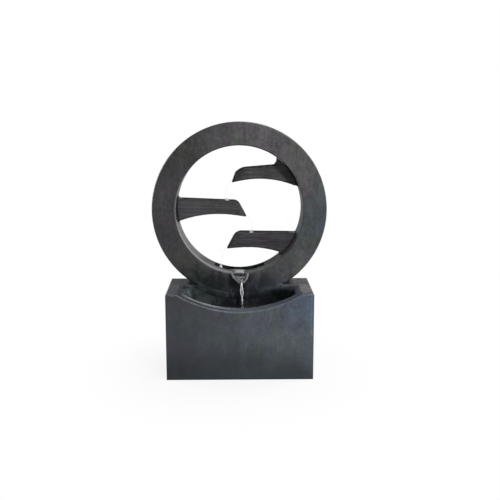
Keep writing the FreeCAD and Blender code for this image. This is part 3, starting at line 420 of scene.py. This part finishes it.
    def edges_worn_lit_and_shaded(self, base, upper_edge_colour):
        """Edges that face up take the given edge colour: where light, partly rubbing and partly painted
        highlight; where dark, painted shade. Other edges and all undersides are darkened, partly grime and
        partly painted shade.
        """
        upward = self.upward
        agree = self.dot(self.rounded_normal, self.node("NewGeometry").outputs["Normal"])
        edge = self.times(self.span(agree, 0.992, 0.89), self.span(self.mottle, 0.34, 0.56, 0.6, 1.0))
        under_ring = self.times(self.span(self.y, -0.030, -0.004), self.span(self.z, 0.30, 0.285))
        # Edges that face up: rubbing and painted highlight.
        wear_and_highlight = self.times(edge, self.span(upward, 0.05, 0.18), self.span(self.x, 0.12, -0.08, 0.4, 0.9),
                          self.span(self.wet_and_shaded, 0.0, 1.0, 0.9, 0.10), self.span(under_ring, 1.0, 0.0))
        low_edge = self.times(edge, self.span(upward, 0.14, 0.02, 0.0, 0.75),
                              self.span(self.z, BASE_TOP - 0.003, BASE_TOP - 0.016))
        # Other edges and undersides: grime and painted shade.
        grime_and_shade = self.most(self.times(edge, self.span(upward, 0.10, -0.05, 0.0, 0.75)), low_edge,
                         self.span(upward, -0.12, -0.60, 0.0, 0.85))
        return self.mix(grime_and_shade, self.mix(wear_and_highlight, base, upper_edge_colour), (0.014, 0.014, 0.015))

    def relief(self):
        normal = self.rounded_normal
        for height, strength, depth in ((self.broad, 0.35, 0.0030), (self.blotch, 0.35, 0.0016),
                                        (self.mottle, 0.40, 0.0009), (self.grain, 0.30, 0.0004),
                                        (self.speck, 0.15, 0.0002)):
            normal = self.bump(height, strength, depth, normal)
        return normal

    def roughness(self):
        dry = self.span(self.blend((self.streak, 0.5), (self.mottle, 0.5)), 0.36, 0.64, 0.38, 0.58)
        return self.times(dry, self.span(self.wet_and_shaded, 0.0, 1.0, 1.0, 0.80))

    def gloss(self, top_gloss):
        """The ring's inner wall is smooth on the left, and dull at the bottom where the pool's scum dries."""
        gloss = self.math("MINIMUM", self.span(self.wet_and_shaded, 0.0, 1.0, 0.5, 0.16),
                          self.span(self.upward, 0.2, 0.8, 0.5, top_gloss))
        smooth = self.times(self.span(self.x, -0.14, 0.03, 0.42, 0.05),
                            self.most(self.span(self.y, 0.048, 0.018, 0.15, 1.0),
                                      self.span(self.z, 0.345, 0.385)))
        elsewhere = self.math("SUBTRACT", 1.0, self.inner_wall)
        return self.blend((gloss, elsewhere), (self.inner_wall, smooth))


def cast_resin(name, brush, seed, wear_radius=0.0022, tint=(1.0, 1.0, 1.0), streaks=0.16, stain=1.0,
               upper_edge_colour=(0.50, 0.505, 0.52), top_gloss=0.5, painted_key_light=0.0, root=1.0, spread=1.0, patches=1.0):
    """The resin of one casting.
    brush is the scale of its streaks along each axis, seed moves its pattern, and spread widens its tones.
    """
    graph = CastResin(name, brush, seed, wear_radius, stain)
    base = graph.mottled(streaks, spread)
    base = graph.patched(base, patches)
    base = graph.shade(1.0, base, tint)
    base = graph.painted_side_shade(base, root)
    base = graph.wet_and_painted_bowl(base)
    base = graph.painted_shadow_and_glints(base)
    base = graph.painted_lights_and_deck_shade(base, painted_key_light)
    base = graph.front_marks(base)
    base = graph.painted_low_shade(base)
    base = graph.edges_worn_lit_and_shaded(base, upper_edge_colour)
    graph.principled(Base_Color=base, Roughness=graph.roughness(), Normal=graph.relief(),
                     Specular_IOR_Level=graph.gloss(top_gloss))
    return graph.owner


# The other materials

def scaled(colour, share):
    return tuple(min(1.0, channel * share) for channel in colour)


def moulded(name, colour, rough=0.45, grain_scale=700.0, strength=0.12, varied=0.25, specular=0.5):
    """Moulded plastic or rubber with a fine skin grain and slightly uneven tone."""
    graph = Graph(bpy.data.materials.new(name))
    tone = graph.noise(graph.place(), 60.0, 4.0, 0.6)
    grain = graph.noise(graph.place(), grain_scale, 2.0, 0.5)
    stops = [(0.35, scaled(colour, 1 - varied)), (0.65, scaled(colour, 1 + varied))]
    graph.principled(Base_Color=graph.ramp(tone, stops), Specular_IOR_Level=specular,
                     Roughness=graph.span(tone, 0.3, 0.7, rough - 0.06, rough + 0.08),
                     Normal=graph.bump(grain, strength, 0.0002, graph.rounded(0.0005, 4)))
    return graph.owner


def metal(name, colour, rough=0.28):
    """Metal with a fine turned or drawn grain."""
    graph = Graph(bpy.data.materials.new(name))
    lines = graph.noise(graph.place((40, 40, 600)), 4.0, 3.0, 0.6)
    stain = graph.noise(graph.place(), 90.0, 4.0, 0.6)
    graph.principled(Base_Color=graph.ramp(stain, [(0.3, scaled(colour, 0.8)), (0.7, colour)]), Metallic=1.0,
                     Roughness=graph.span(lines, 0.3, 0.7, rough - 0.07, rough + 0.12),
                     Normal=graph.bump(lines, 0.15, 0.0001, graph.rounded(0.0003, 4)))
    return graph.owner


def foam(name, colour):
    """Open-cell filter sponge."""
    graph = Graph(bpy.data.materials.new(name))
    cells = graph.node("TexVoronoi", {"Vector": graph.place(), "Scale": 450.0},
                       feature="DISTANCE_TO_EDGE").outputs[0]
    stops = [(0.05, colour), (0.30, scaled(colour, 0.25))]
    graph.principled(Base_Color=graph.ramp(cells, stops), Roughness=0.95,
                     Normal=graph.bump(cells, 1.0, 0.001))
    return graph.owner


def water(name, colour, clear, rough, wave_scale, wave_height, clear_below=None):
    """Water with fine waves. What isn't clear is the tint of depth or of air in it."""
    graph = Graph(bpy.data.materials.new(name))
    waves = graph.noise(graph.place(), wave_scale, 3.0, 0.5, 0.6)
    tone = graph.noise(graph.place(), wave_scale * 0.6, 3.0, 0.5, 0.3)
    through = clear
    if clear_below:
        through = graph.span(graph.axes()[2], clear_below - 0.008, clear_below + 0.008, 0.92, clear)
    graph.principled(Base_Color=graph.ramp(tone, [(0.35, scaled(colour, 0.82)), (0.65, colour)]),
                     Roughness=graph.span(tone, 0.3, 0.7, rough * 0.6, rough * 1.4),
                     Normal=graph.bump(waves, 0.6, wave_height), Transmission_Weight=through, IOR=1.333)
    return graph.owner


# Scales of the brush streaks along each axis: upright on the castings, and along X on the leaves
upright = (210, 210, 16)
lengthwise = (9, 300, 300)
# The edges that face up are lightened on the castings, partly rubbing and partly painted highlight, and
# darkened on the leaves and the joint bead as painted shade.
ring_look = dict(brush=upright, seed=1.0, tint=(0.93, 0.91, 0.92), spread=0.8)
leaf_look = dict(brush=lengthwise, wear_radius=0.0085, streaks=0.62, upper_edge_colour=(0.012, 0.012, 0.013),
                 top_gloss=0.06, patches=0.3)
resin_base = cast_resin("charcoal_resin", upright, 0.0, wear_radius=0.0066, tint=(1.04, 1.04, 1.04),
                        upper_edge_colour=(0.62, 0.63, 0.65), top_gloss=0.05, spread=1.15)
resin_ring = cast_resin("charcoal_resin_ring", **ring_look)
resin_joint = cast_resin("charcoal_resin_joint", upper_edge_colour=(0.020, 0.021, 0.024), **ring_look)
# Root values above 1 lighten the leaves towards their roots: painted light where the ring's shadow falls.
resin_leaf = cast_resin("charcoal_resin_leaf", seed=2.0, tint=(1.05, 1.00, 1.02), root=1.40, **leaf_look)
resin_low_leaf = cast_resin("charcoal_resin_low_leaf", seed=3.0, tint=(1.06, 0.98, 1.00), root=1.20,
                            **leaf_look)
# The spout gets painted light on the faces that look up and to the right.
resin_spout = cast_resin("charcoal_resin_spout", upright, 1.0, wear_radius=0.0020, tint=(1.15, 1.17, 1.15),
                         stain=0.25, painted_key_light=0.85)
materials = {
    "charcoal_resin": resin_base,
    "back_panel": moulded("back_panel", (0.050, 0.052, 0.058), 0.55, 500.0, 0.2, 0.22, 0.4),
    "stainless_steel": metal("stainless_steel", (0.60, 0.60, 0.60)),
    "brass": metal("brass", (0.72, 0.54, 0.25)),
    "black_rubber": moulded("black_rubber", (0.022, 0.022, 0.022), 0.7, 900.0, 0.15, 0.2, 0.3),
    "black_plastic": moulded("black_plastic", (0.026, 0.026, 0.028), 0.42),
    "clear_vinyl": moulded("clear_vinyl", (0.62, 0.66, 0.66), 0.25, 300.0, 0.05, 0.06),
    "white_plastic": moulded("white_plastic", (0.74, 0.74, 0.72), 0.38, 700.0, 0.08, 0.04),
    "shaft_ceramic": moulded("shaft_ceramic", (0.82, 0.82, 0.79), 0.2, 900.0, 0.04, 0.03),
    "filter_sponge": foam("filter_sponge", (0.05, 0.07, 0.10)),
    "magnet": metal("magnet", (0.55, 0.55, 0.56), 0.22),
}
froth = water("froth", (0.105, 0.110, 0.110), 0.05, 0.30, 260.0, 0.0010)
still_water = water("still_water", (0.036, 0.040, 0.042), 0.55, 0.05, 90.0, 0.0008)
# Pale foam; on the crests in the outlet and the beak its paleness is also painted reflection.
foam_and_glint_water = water("foam_and_glint_water", (0.34, 0.355, 0.355), 0.15, 0.22, 260.0, 0.0008)
white_water = water("white_water", (0.97, 0.985, 1.0), 0.12, 0.14, 260.0, 0.0006)
stream_water = water("stream_water", (0.97, 0.985, 1.0), 0.12, 0.14, 260.0, 0.0006, clear_below=0.228)
clear_water = water("clear_water", (0.97, 0.985, 0.99), 1.0, 0.02, 160.0, 0.0003)
# These nodes have their own cast of the resin, the others the finish of their slot.
own_finish = {"ring_shell": resin_ring, "pour_spout": resin_spout, "leaf_upper": resin_leaf,
              "leaf_middle": resin_leaf, "leaf_lower": resin_low_leaf}
for part in frame["record"]["subparts"]:
    node = nodes[part["node"]]
    node.data.materials.clear()
    node.data.materials.append(own_finish.get(part["node"], materials[part["material_slot"]]))


# Mesh helpers

def lerp(a, b, share):
    return a + (b - a) * share


def shares(steps):
    """Shares from 0 to 1 in even steps."""
    return [index / steps for index in range(steps + 1)]


def around(count):
    """Angles evenly spaced round a circle."""
    return [2 * math.pi * index / count for index in range(count)]


def make_mesh(name, points, faces):
    mesh = bpy.data.meshes.new(name)
    mesh.from_pydata(points, [], faces)
    return mesh


def new_piece(name, mesh, material):
    """Links a mesh as a piece that stays with the fountain's fixed parts."""
    piece = bpy.data.objects.new(name, mesh)
    bpy.context.scene.collection.objects.link(piece)
    mesh.materials.clear()
    mesh.materials.append(material)
    mesh.polygons.foreach_set("use_smooth", [True] * len(mesh.polygons))
    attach(piece, "root")
    return piece


def with_modifiers(mesh, modifiers):
    """Returns the mesh that the modifiers leave."""
    holder = bpy.data.objects.new("holder", mesh)
    bpy.context.scene.collection.objects.link(holder)
    for kind, settings in modifiers:
        made = holder.modifiers.new(kind, kind)
        for key, value in settings.items():
            setattr(made, key, value)
    ready = holder.evaluated_get(bpy.context.evaluated_depsgraph_get())
    result = bpy.data.meshes.new_from_object(ready)
    bpy.data.objects.remove(holder)
    return result


def merge_doubles(mesh):
    work = bmesh.new()
    work.from_mesh(mesh)
    bmesh.ops.remove_doubles(work, verts=work.verts, dist=0.00002)
    work.to_mesh(mesh)
    work.free()


def keep_largest_body(mesh):
    """Leaves out slivers that a thin edge of the solid left beside the main body."""
    work = bmesh.new()
    work.from_mesh(mesh)
    left = set(work.verts)
    bodies = []
    while left:
        front = [left.pop()]
        body = set(front)
        while front:
            vertex = front.pop()
            for other in (edge.other_vert(vertex) for edge in vertex.link_edges):
                if other in left:
                    left.remove(other)
                    body.add(other)
                    front.append(other)
        bodies.append(body)
    largest = max(bodies, key=len)
    strays = [vertex for vertex in work.verts if vertex not in largest]
    bmesh.ops.delete(work, geom=strays, context="VERTS")
    work.to_mesh(mesh)
    work.free()


def hand_cast(node_name, material, voxel, rounds, sway, keep, bend=None):
    """A cast piece in place of its plain solid: edges rounded by hand, faces that are never quite flat.
    voxel is the mesh's fineness, rounds smooth it, sway is how far faces wander, and keep is the share of
    faces that stays.
    """
    mesh = nodes[node_name].data.copy()
    merge_doubles(mesh)
    mesh = with_modifiers(mesh, [("REMESH", dict(mode="VOXEL", voxel_size=voxel)),
                                 ("SMOOTH", dict(factor=0.5, iterations=rounds))])
    keep_largest_body(mesh)
    spots = []
    for vertex in mesh.vertices:
        spot = vertex.co.copy()
        push = noise.noise(spot * 22.0) * 0.6 + noise.noise(spot * 60.0 + Vector((3, 1, 2))) * 0.4
        spot -= vertex.normal * sway * (0.5 + 0.5 * push)
        if bend:
            bend(spot)
        spots.extend(spot)
    mesh.vertices.foreach_set("co", spots)
    mesh.update()
    mesh = with_modifiers(mesh, [("DECIMATE", dict(ratio=keep))])
    piece = new_piece(node_name + "_cast", mesh, material)
    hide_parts(node_name)


def slab(name, material, columns, rows, spot):
    """A closed body between two grids. spot(u, v, top) gives a place on the upper or lower one."""
    points = [spot(u, v, top) for top in (True, False) for u in shares(columns) for v in shares(rows)]
    step = rows + 1
    layer = (columns + 1) * step
    faces = []
    for i in range(columns):
        for j in range(rows):
            first = i * step + j
            corners = (first, first + step, first + step + 1, first + 1)
            faces.append(corners)
            faces.append(tuple(layer + corners[k] for k in (0, 3, 2, 1)))
    for i in range(columns):
        for j, turn in ((0, 1), (rows, -1)):
            first = i * step + j
            faces.append((first, layer + first, layer + first + step, first + step)[::turn])
    for j in range(rows):
        for i, turn in ((0, -1), (columns, 1)):
            first = i * step + j
            faces.append((first, layer + first, layer + first + 1, first + 1)[::turn])
    new_piece(name, make_mesh(name, points, faces), material)


def tube(name, material, points, sides):
    """A closed body through rings of points, listed ring after ring."""
    last = len(points) - sides
    faces = []
    for start in range(0, last, sides):
        for side in range(sides):
            first = start + side
            second = start + (side + 1) % sides
            faces.append((first, second, second + sides, first + sides))
    faces.append(tuple(reversed(range(sides))))
    faces.append(tuple(range(last, last + sides)))
    new_piece(name, make_mesh(name, points, faces), material)


def strand(name, material, spine, radius, sides=12):
    """A round rope of water along a list of points, its radius a function of the share run."""
    points = []
    last = len(spine) - 1
    for index, spot in enumerate(spine):
        before = spine[max(0, index - 1)]
        after = spine[min(last, index + 1)]
        along = (Vector(after) - Vector(before)).normalized()
        across = along.cross(Vector((0, 1, 0))).normalized()
        third = along.cross(across)
        size = radius(index / last)
        for turn in around(sides):
            points.append(Vector(spot) + across * (size * math.cos(turn)) + third * (size * math.sin(turn)))
    tube(name, material, points, sides)


# Cast pieces

def lean_spout(spot):
    """Moves a place of the spout to the right, the more the nearer it is to the tip."""
    share = min(1.0, max(0.0, (RING_FRONT - spot.y) / (RING_FRONT - SPOUT_TIP)))
    spot.x += SPOUT_X * share


for leaf_name in LEAVES:
    hand_cast(leaf_name, own_finish[leaf_name], 0.0014, 6, 0.0006, 0.5)
hand_cast("pour_spout", resin_spout, 0.0009, 8, 0.0003, 0.6, lean_spout)


# Water in the bowl, the pool, its outlet and the spout

def ripple(x, y):
    """Rings that run out from where the stream lands, over a slow swell."""
    away = math.hypot(x - LANDING.x, y - LANDING.y)
    rings = 0.0012 * math.cos(away * 420.0) * math.exp(-away / 0.035)
    swell = 0.0007 * noise.noise(Vector((x * 38.0, y * 60.0, 0.3)))
    return rings + swell + 0.0003 * noise.noise(Vector((x, y, 0)) * 140)


def bowl_spot(u, v, top):
    """The bowl narrows towards its floor, and its corners are round."""
    level = BOWL_WATER if top else BOWL_FLOOR + CLEAR
    rise = (level - BOWL_FLOOR) / (BASE_TOP + 0.001 - BOWL_FLOOR)
    half = lerp(BOWL_FLOOR_HALF, BOWL_HALF, rise) - CLEAR
    front = BOWL_FRONT + BOWL_DRAFT * (1 - rise) + CLEAR
    back = RING_FRONT - CLEAR
    x = lerp(-half, half, u)
    past_corner = max(0.0, abs(x) - (half - BOWL_CORNER))
    cut = BOWL_CORNER - math.sqrt(max(0.0, BOWL_CORNER ** 2 - past_corner ** 2))
    y = lerp(front + cut, back - cut, v)
    return Vector((x, y, level + (ripple(x, y) if top else 0.0)))


def pool_spot(u, v, top):
    """The pool's floor is round about the ring's axis."""
    half = math.sqrt(POOL_FLOOR_RADIUS ** 2 - (RING_Z - POOL_WATER) ** 2) - CLEAR
    x = lerp(-half, half, u)
    y = lerp(POOL_FRONT + CLEAR, POOL_BACK - CLEAR, v)
    if top:
        return Vector((x, y, POOL_WATER + 0.0009 * noise.noise(Vector((x * 60, y * 60, 1.7)))))
    floor_z = RING_Z - math.sqrt((POOL_FLOOR_RADIUS - CLEAR) ** 2 - x ** 2)
    return Vector((x, y, min(floor_z, POOL_WATER - 0.0012)))


def outlet_spot(u, v, top):
    """The notch in the pool's front rim, from the ring's front at v = 0."""
    x = lerp(-OUTLET_HALF, OUTLET_HALF, u) * 0.98
    y = lerp(RING_FRONT + CLEAR, POOL_FRONT - CLEAR, v)
    if not top:
        return Vector((x, y, OUTLET_Z + CLEAR))
    wave = 0.0007 * math.sin(v * 26) * math.cos((u - 0.5) * 3)
    return Vector((x, y, lerp(OUTLET_WATER, POOL_WATER, v) + wave))


def beak_spot(u, v, top):
    """The channel of the beak, from its root at v = 0 to its tip at v = 1."""
    half = lerp(*BEAK_HALF, v ** 1.2)
    bed = lerp(*BEAK_BED, v)
    level = lerp(*BEAK_WATER, v ** 0.95)
    y = lerp(RING_FRONT - CLEAR, SPOUT_TIP - 0.0012, v)
    x = lerp(-half, half, u) + SPOUT_X * v
    if top:
        wave = 0.0006 * math.sin(v * 21.0) + 0.0004 * noise.noise(Vector((x * 200, y * 200, 2.0)))
        return Vector((x, y, level + wave - 0.0008 * (2 * u - 1) ** 2))
    sag = 1 - (2 * u - 1) ** 2
    return Vector((x, y, min(lerp(level - 0.0014, bed, sag ** 0.7), level - 0.0014)))


def froth_spot(u, v, top):
    """Froth along the left of the channel, thin at its right edge."""
    spot = beak_spot(lerp(0.0, lerp(0.42, 0.60, v), u), lerp(0.06, 0.93, v), True)
    return spot + Vector((0, 0, (0.0006 + 0.0012 * (1 - u)) if top else -0.0004))


slab("bowl_water", still_water, 150, 42, bowl_spot)
slab("pool_water", still_water, 60, 20, pool_spot)
slab("outlet_water", still_water, 12, 24, outlet_spot)
slab("beak_froth", froth, 10, 30, froth_spot)
slab("beak_water", still_water, 16, 40, beak_spot)


# Crests of white water across the notch and down the beak, their paleness partly painted reflection of the
# light on the ripples

def crest(name, v, half, lean, size):
    middle = beak_spot(0.5, v, True)
    spine = []
    for across in (lerp(-1, 1, share) for share in shares(24)):
        drop = 0.0045 * (1 - across ** 2)
        wander = 0.0008 * noise.noise(Vector((across * 3, v * 9, 0.7)))
        spine.append((middle.x + half * across + lean, middle.y - drop + wander,
                      middle.z + 0.0004 - drop * 0.35))

    def radius(share):
        swell = 0.25 + math.sin(math.pi * share) ** 0.6
        return size * swell * (1 + 0.3 * noise.noise(Vector((share * 5, v, 0))))

    strand(name, foam_and_glint_water, spine, radius)


def outlet_crest_spot(u, v, top):
    """The rounded swell where water leaves the pool, highest in the middle."""
    x = lerp(-OUTLET_HALF, OUTLET_HALF, u) * 0.97
    y = lerp(0.024, 0.054, v)
    if not top:
        return Vector((x, y, POOL_WATER - 0.0003))
    swell = math.sqrt(max(0.0, 1 - (2 * u - 1) ** 2)) * math.sin(math.pi * lerp(0.12, 0.95, v)) ** 0.5
    return Vector((x, y, POOL_WATER + 0.0001 + 0.0056 * swell))


# The swell where the pool spills over: foam, and painted reflection of the light on its water.
slab("outlet_crest", foam_and_glint_water, 24, 16, outlet_crest_spot)
crest("crest_upper", 0.16, 0.0120, -0.0010, 0.0012)
crest("crest_middle", 0.48, 0.0070, -0.0005, 0.0011)
crest("crest_lower", 0.76, 0.0045, 0.0000, 0.0008)


# The stream from the beak: two strands that cross as they fall

def stream_spine(side, phase):
    """Falls from the tip to the bowl on a slight outward curve, weaving to one side and back."""
    spine = []
    for share in shares(60):
        weave = 0.0038 * math.sin(math.pi * min(1.0, max(0.0, (share - 0.12) / 0.50))) ** 1.2
        weave += 0.0030 * max(0.0, (share - 0.74) / 0.26) ** 1.1
        wander = 0.0007 * noise.noise(Vector((share * 7.0, phase, 0.0)))
        spine.append((lerp(SPOUT_X + 0.0005, LANDING.x, share) + side * weave + wander,
                      lerp(SPOUT_TIP, LANDING.y, math.sqrt(share)),
                      lerp(STREAM_TOP, BOWL_WATER - 0.001, share)))
    return spine


def stream_radius(phase, size):
    """Thinner as it falls, with two knots."""
    def radius(share):
        lump = 1 + 0.30 * noise.noise(Vector((share * 16.0, phase, 4.0)))
        knots = 1 + 0.65 * math.exp(-((share - 0.12) / 0.08) ** 2) + math.exp(-((share - 0.70) / 0.07) ** 2)
        return size * lump * knots * lerp(1.0, 0.36, share) * min(1.0, 0.35 + share * 14.0)
    return radius


for name, side, phase, size in (("stream_left", -1, 1.0, 0.0028), ("stream_right", 1, 5.0, 0.0023)):
    strand(name, stream_water, stream_spine(side, phase), stream_radius(phase, size))


# Foam where water lands

def splash(name, centre, radius, height, seed, drops, material=white_water):
    """A low ring of foam with droplets thrown up round it."""
    rings, spokes = 10, 40
    centre = Vector(centre)
    foot = centre.z - 0.0006
    points = [centre + Vector((0, 0, height * 0.3))]
    for v in shares(rings)[1:]:
        for turn in around(spokes):
            cos, sin = math.cos(turn), math.sin(turn)
            away = radius * v * (1 + 0.25 * noise.noise(Vector((cos * 2, sin * 2, seed))))
            lift = height * math.sin(math.pi * min(1.0, v * 1.05)) ** 0.7
            lift *= 0.55 + 0.75 * abs(noise.noise(Vector((cos * 3, sin * 3, seed + v * 4))))
            points.append(centre + Vector((away * cos, away * sin, lift)))
    points += [Vector((rim.x, rim.y, foot)) for rim in points[-spokes:]]
    points.append(Vector((centre.x, centre.y, foot)))
    last = len(points) - 1
    faces = []
    for spoke in range(spokes):
        after = (spoke + 1) % spokes
        faces.append((0, 1 + spoke, 1 + after))
        for ring in range(1, last - spokes, spokes):
            faces.append((ring + spoke, ring + spokes + spoke, ring + spokes + after, ring + after))
        base = last - spokes
        faces.append((base + spoke, last, base + after))
    mesh = make_mesh(name, points, faces)
    work = bmesh.new()
    work.from_mesh(mesh)
    for index in range(drops):
        turn = random.uniform(0, 2 * math.pi)
        away = radius * random.uniform(0.5, 1.5)
        size = random.uniform(0.0005, 0.0012)
        lift = random.uniform(0.4, 3.2) * height
        spot = centre + Vector((away * math.cos(turn), away * math.sin(turn), lift))
        bmesh.ops.create_icosphere(work, subdivisions=2, radius=size, matrix=Matrix.Translation(spot))
    work.to_mesh(mesh)
    work.free()
    new_piece(name, mesh, material)


splash("bowl_splash", (LANDING.x, LANDING.y, BOWL_WATER), 0.0034, 0.0008, 3.0, 6, foam_and_glint_water)


# Water on the leaves and the thin falls between them

def circle_through(a, b, c):
    """Centre and radius of the circle through three points of a plane."""
    divisor = 2 * (a[0] * (b[1] - c[1]) + b[0] * (c[1] - a[1]) + c[0] * (a[1] - b[1]))
    sums = [point[0] ** 2 + point[1] ** 2 for point in (a, b, c)]
    x = (sums[0] * (b[1] - c[1]) + sums[1] * (c[1] - a[1]) + sums[2] * (a[1] - b[1])) / divisor
    z = (sums[0] * (c[0] - b[0]) + sums[1] * (a[0] - c[0]) + sums[2] * (b[0] - a[0])) / divisor
    return x, z, math.hypot(a[0] - x, a[1] - z)


def leaf_film(name, side, tip, crown):
    """Water in a leaf's trough, whose bed is an arc from the lip at the tip to the root."""
    tip_x, tip_z = tip
    root_z = crown[1] + LEAF_FLOOR
    root_x = math.sqrt((RING_INNER - 0.0003) ** 2 - root_z ** 2)
    far_x = math.sqrt((RING_INNER - LEAF_ROOT_WALL - CLEAR) ** 2 - (root_z + 0.004) ** 2) - 0.0006
    centre_x, centre_z, radius = circle_through((tip_x - LEAF_LIP_OVERRUN, tip_z + LEAF_LIP_HEIGHT),
                                                (crown[0], root_z), (root_x, root_z + 0.001))

    def spot(u, v, top):
        x = lerp(tip_x + 0.0012, far_x, u)
        near = min(1.0, max(0.0, (x - tip_x) / LEAF_TAPER))
        half = lerp(0.0055, LEAF_DEPTH / 2 - LEAF_WALL, near ** 0.75) - CLEAR
        bed = centre_z + math.sqrt(radius ** 2 - (x - centre_x) ** 2)
        y = LEAF_Y + lerp(-half, half, v)
        if not top:
            return Vector((side * x, y, RING_Z + bed + 0.0002))
        level = bed + lerp(0.0016, 0.0030, near)
        if x > centre_x:
            level = max(level, centre_z + radius + 0.0030)
        wave = 0.0005 * noise.noise(Vector((x * 90, y * 120, tip_z * 9)))
        wave += 0.0004 * math.sin(x * 330 + y * 40)
        return Vector((side * x, y, RING_Z + level + wave))

    slab(name + "_water", still_water, 90, 14, spot)


def fall(name, start, end, size=0.0008):
    """A thin clear fall on the curve of water that leaves a lip level."""
    spine = []
    for share in shares(40):
        spine.append((lerp(start[0], end[0], share), LEAF_Y + 0.0006 * math.sin(share * 9),
                      lerp(start[1], end[1], share ** 2)))

    def radius(share):
        return size * lerp(1.2, 0.7, share) * (1 + 0.15 * noise.noise(Vector((share * 20, size * 900, 0))))

    strand(name, clear_water, spine, radius, 10)


def lip(leaf, above):
    """X and Z of the place above a leaf's tip where its water leaves it."""
    tip_x, tip_z = LEAVES[leaf]["tip"]
    return LEAVES[leaf]["side"] * tip_x, RING_Z + tip_z + above


for name, shape in LEAVES.items():
    leaf_film(name, **shape)
fall("fall_upper", lip("leaf_upper", 0.0035), (-0.050, RING_Z + 0.030))
fall("fall_middle", lip("leaf_middle", 0.0037), (0.046, RING_Z - 0.082))
fall("fall_lower", lip("leaf_lower", 0.0035), (-0.066, POOL_WATER))
splash("splash_middle", (-0.0415, 0.0700, RING_Z + 0.0275), 0.0055, 0.0056, 11.0, 5)
splash("splash_lower", (0.0390, 0.0700, RING_Z - 0.0815), 0.0055, 0.0056, 17.0, 5)
splash("splash_pool", (-0.064, 0.0830, POOL_WATER), 0.0060, 0.0235, 23.0, 7)


# Filler in the joint between the ring's front edge and the basin

def joint_bead():
    """A flat band along the ring's outline, as far as the ring dips below the basin's top."""
    sides = 20
    middle = RING_OUTER + 0.0010
    reach = math.acos((RING_Z - BASE_TOP - 0.001) / (RING_OUTER + 0.001))
    points = []
    for turn in (lerp(-reach, reach, share) for share in shares(160)):
        wobble = 0.0006 * noise.noise(Vector((turn * 9, 0.4, 0.2)))
        for angle in around(sides):
            radius = middle + (0.0110 + wobble) * math.cos(angle)
            y = RING_FRONT + 0.0006 + 0.0018 * math.sin(angle)
            points.append(Vector((radius * math.sin(turn), y, RING_Z - radius * math.cos(turn))))
    tube("joint_bead", resin_joint, points, sides)


joint_bead()


# Floor, lamps, world and camera

def build_floor():
    bpy.ops.mesh.primitive_plane_add(size=14, location=(0, 0, -0.0005))
    floor = bpy.context.object
    floor.name = "floor"
    graph = Graph(bpy.data.materials.new("floor"))
    plain = graph.node("BsdfDiffuse", {"Color": (0.62, 0.62, 0.62)}).outputs[0]
    white = graph.node("Emission", {"Color": (1.0, 1.0, 1.0), "Strength": 1.0}).outputs[0]
    ray = graph.node("LightPath").outputs
    x, y, z = graph.axes()
    # Far from the fountain the floor fades into the white of the background.
    fade = graph.span(graph.distance((x, 0.0, 1.0), (y, 0.0, 1.0)), 0.10, 0.60, 0.84, 1.0)
    seen = graph.most(ray["Is Camera Ray"], ray["Is Glossy Ray"], ray["Is Transmission Ray"])
    graph.surface(graph.node("MixShader", {0: graph.times(seen, fade), 1: plain, 2: white}).outputs[0])
    floor.data.materials.append(graph.owner)


def area_lamp(name, place, target, size, power, colour=(1, 1, 1)):
    data = bpy.data.lights.new(name, "AREA")
    data.shape = "RECTANGLE"
    data.size, data.size_y = size
    data.energy = power
    data.color = colour
    lamp = bpy.data.objects.new(name, data)
    bpy.context.scene.collection.objects.link(lamp)
    lamp.location = place
    lamp.rotation_euler = (Vector(target) - Vector(place)).to_track_quat("-Z", "Y").to_euler()


def build_world():
    """Soft light on the fountain, and plain white wherever the background itself is seen."""
    world = bpy.data.worlds.new("studio")
    bpy.context.scene.world = world
    graph = Graph(world, "OutputWorld")
    where = graph.node("SeparateXYZ", {0: graph.node("TexCoord").outputs["Generated"]}).outputs
    # The soft light is stronger on the right.
    power = graph.span(where["X"], -0.9, 0.9, 0.03, 0.11, "LINEAR")
    soft = graph.node("Background", {"Color": (1.0, 1.0, 1.0), "Strength": power}).outputs[0]
    white = graph.node("Background", {"Color": (1.0, 1.0, 1.0), "Strength": 1.0}).outputs[0]
    ray = graph.node("LightPath").outputs
    # Reflections see the white background that is behind the fountain.
    mirrored = graph.times(ray["Is Glossy Ray"], graph.span(where["Y"], 0.10, 0.60, shape="LINEAR"))
    seen = graph.most(ray["Is Camera Ray"], ray["Is Transmission Ray"], mirrored)
    graph.surface(graph.node("MixShader", {0: seen, 1: soft, 2: white}).outputs[0])


def build_camera():
    """The camera fitted to the photo. Angles are in radians and the focal length in pixels."""
    place = Vector((-0.00966, -2.326, 0.8017))
    yaw, pitch, focal = 0.0188, 0.1717, 722.0
    photo_width = 500.0
    forward = Vector((math.sin(yaw) * math.cos(pitch), math.cos(yaw) * math.cos(pitch), -math.sin(pitch)))
    right = Vector((math.cos(yaw), -math.sin(yaw), 0))
    up = right.cross(forward)
    data = bpy.data.cameras.new("camera")
    camera = bpy.data.objects.new("camera", data)
    bpy.context.scene.collection.objects.link(camera)
    data.sensor_width = 36.0
    data.lens = focal / photo_width * data.sensor_width
    data.clip_start, data.clip_end = 0.05, 50.0
    camera.matrix_world = Matrix.Translation(place) @ Matrix((right, up, -forward)).transposed().to_4x4()
    bpy.context.scene.camera = camera


build_floor()
build_world()
build_camera()
area_lamp("key", (0.50, -1.45, 1.42), (0.10, 0, 0.40), (0.30, 0.30), 11.8)
area_lamp("top", (0.40, -0.42, 2.7), (0.05, 0, 0.3), (0.9, 0.9), 38.0)
area_lamp("side", (1.25, -0.62, 0.55), (0.15, 0, 0.26), (0.25, 0.40), 5.0, (0.90, 0.96, 1.0))
area_lamp("rim_right", (1.1, 0.35, 0.75), (0.19, 0.07, 0.278), (0.4, 0.4), 9.0)
area_lamp("rim_left", (-1.1, 0.30, 0.75), (-0.19, 0.07, 0.278), (0.4, 0.4), 6.0)
bpy.context.scene.view_settings.view_transform = "Standard"
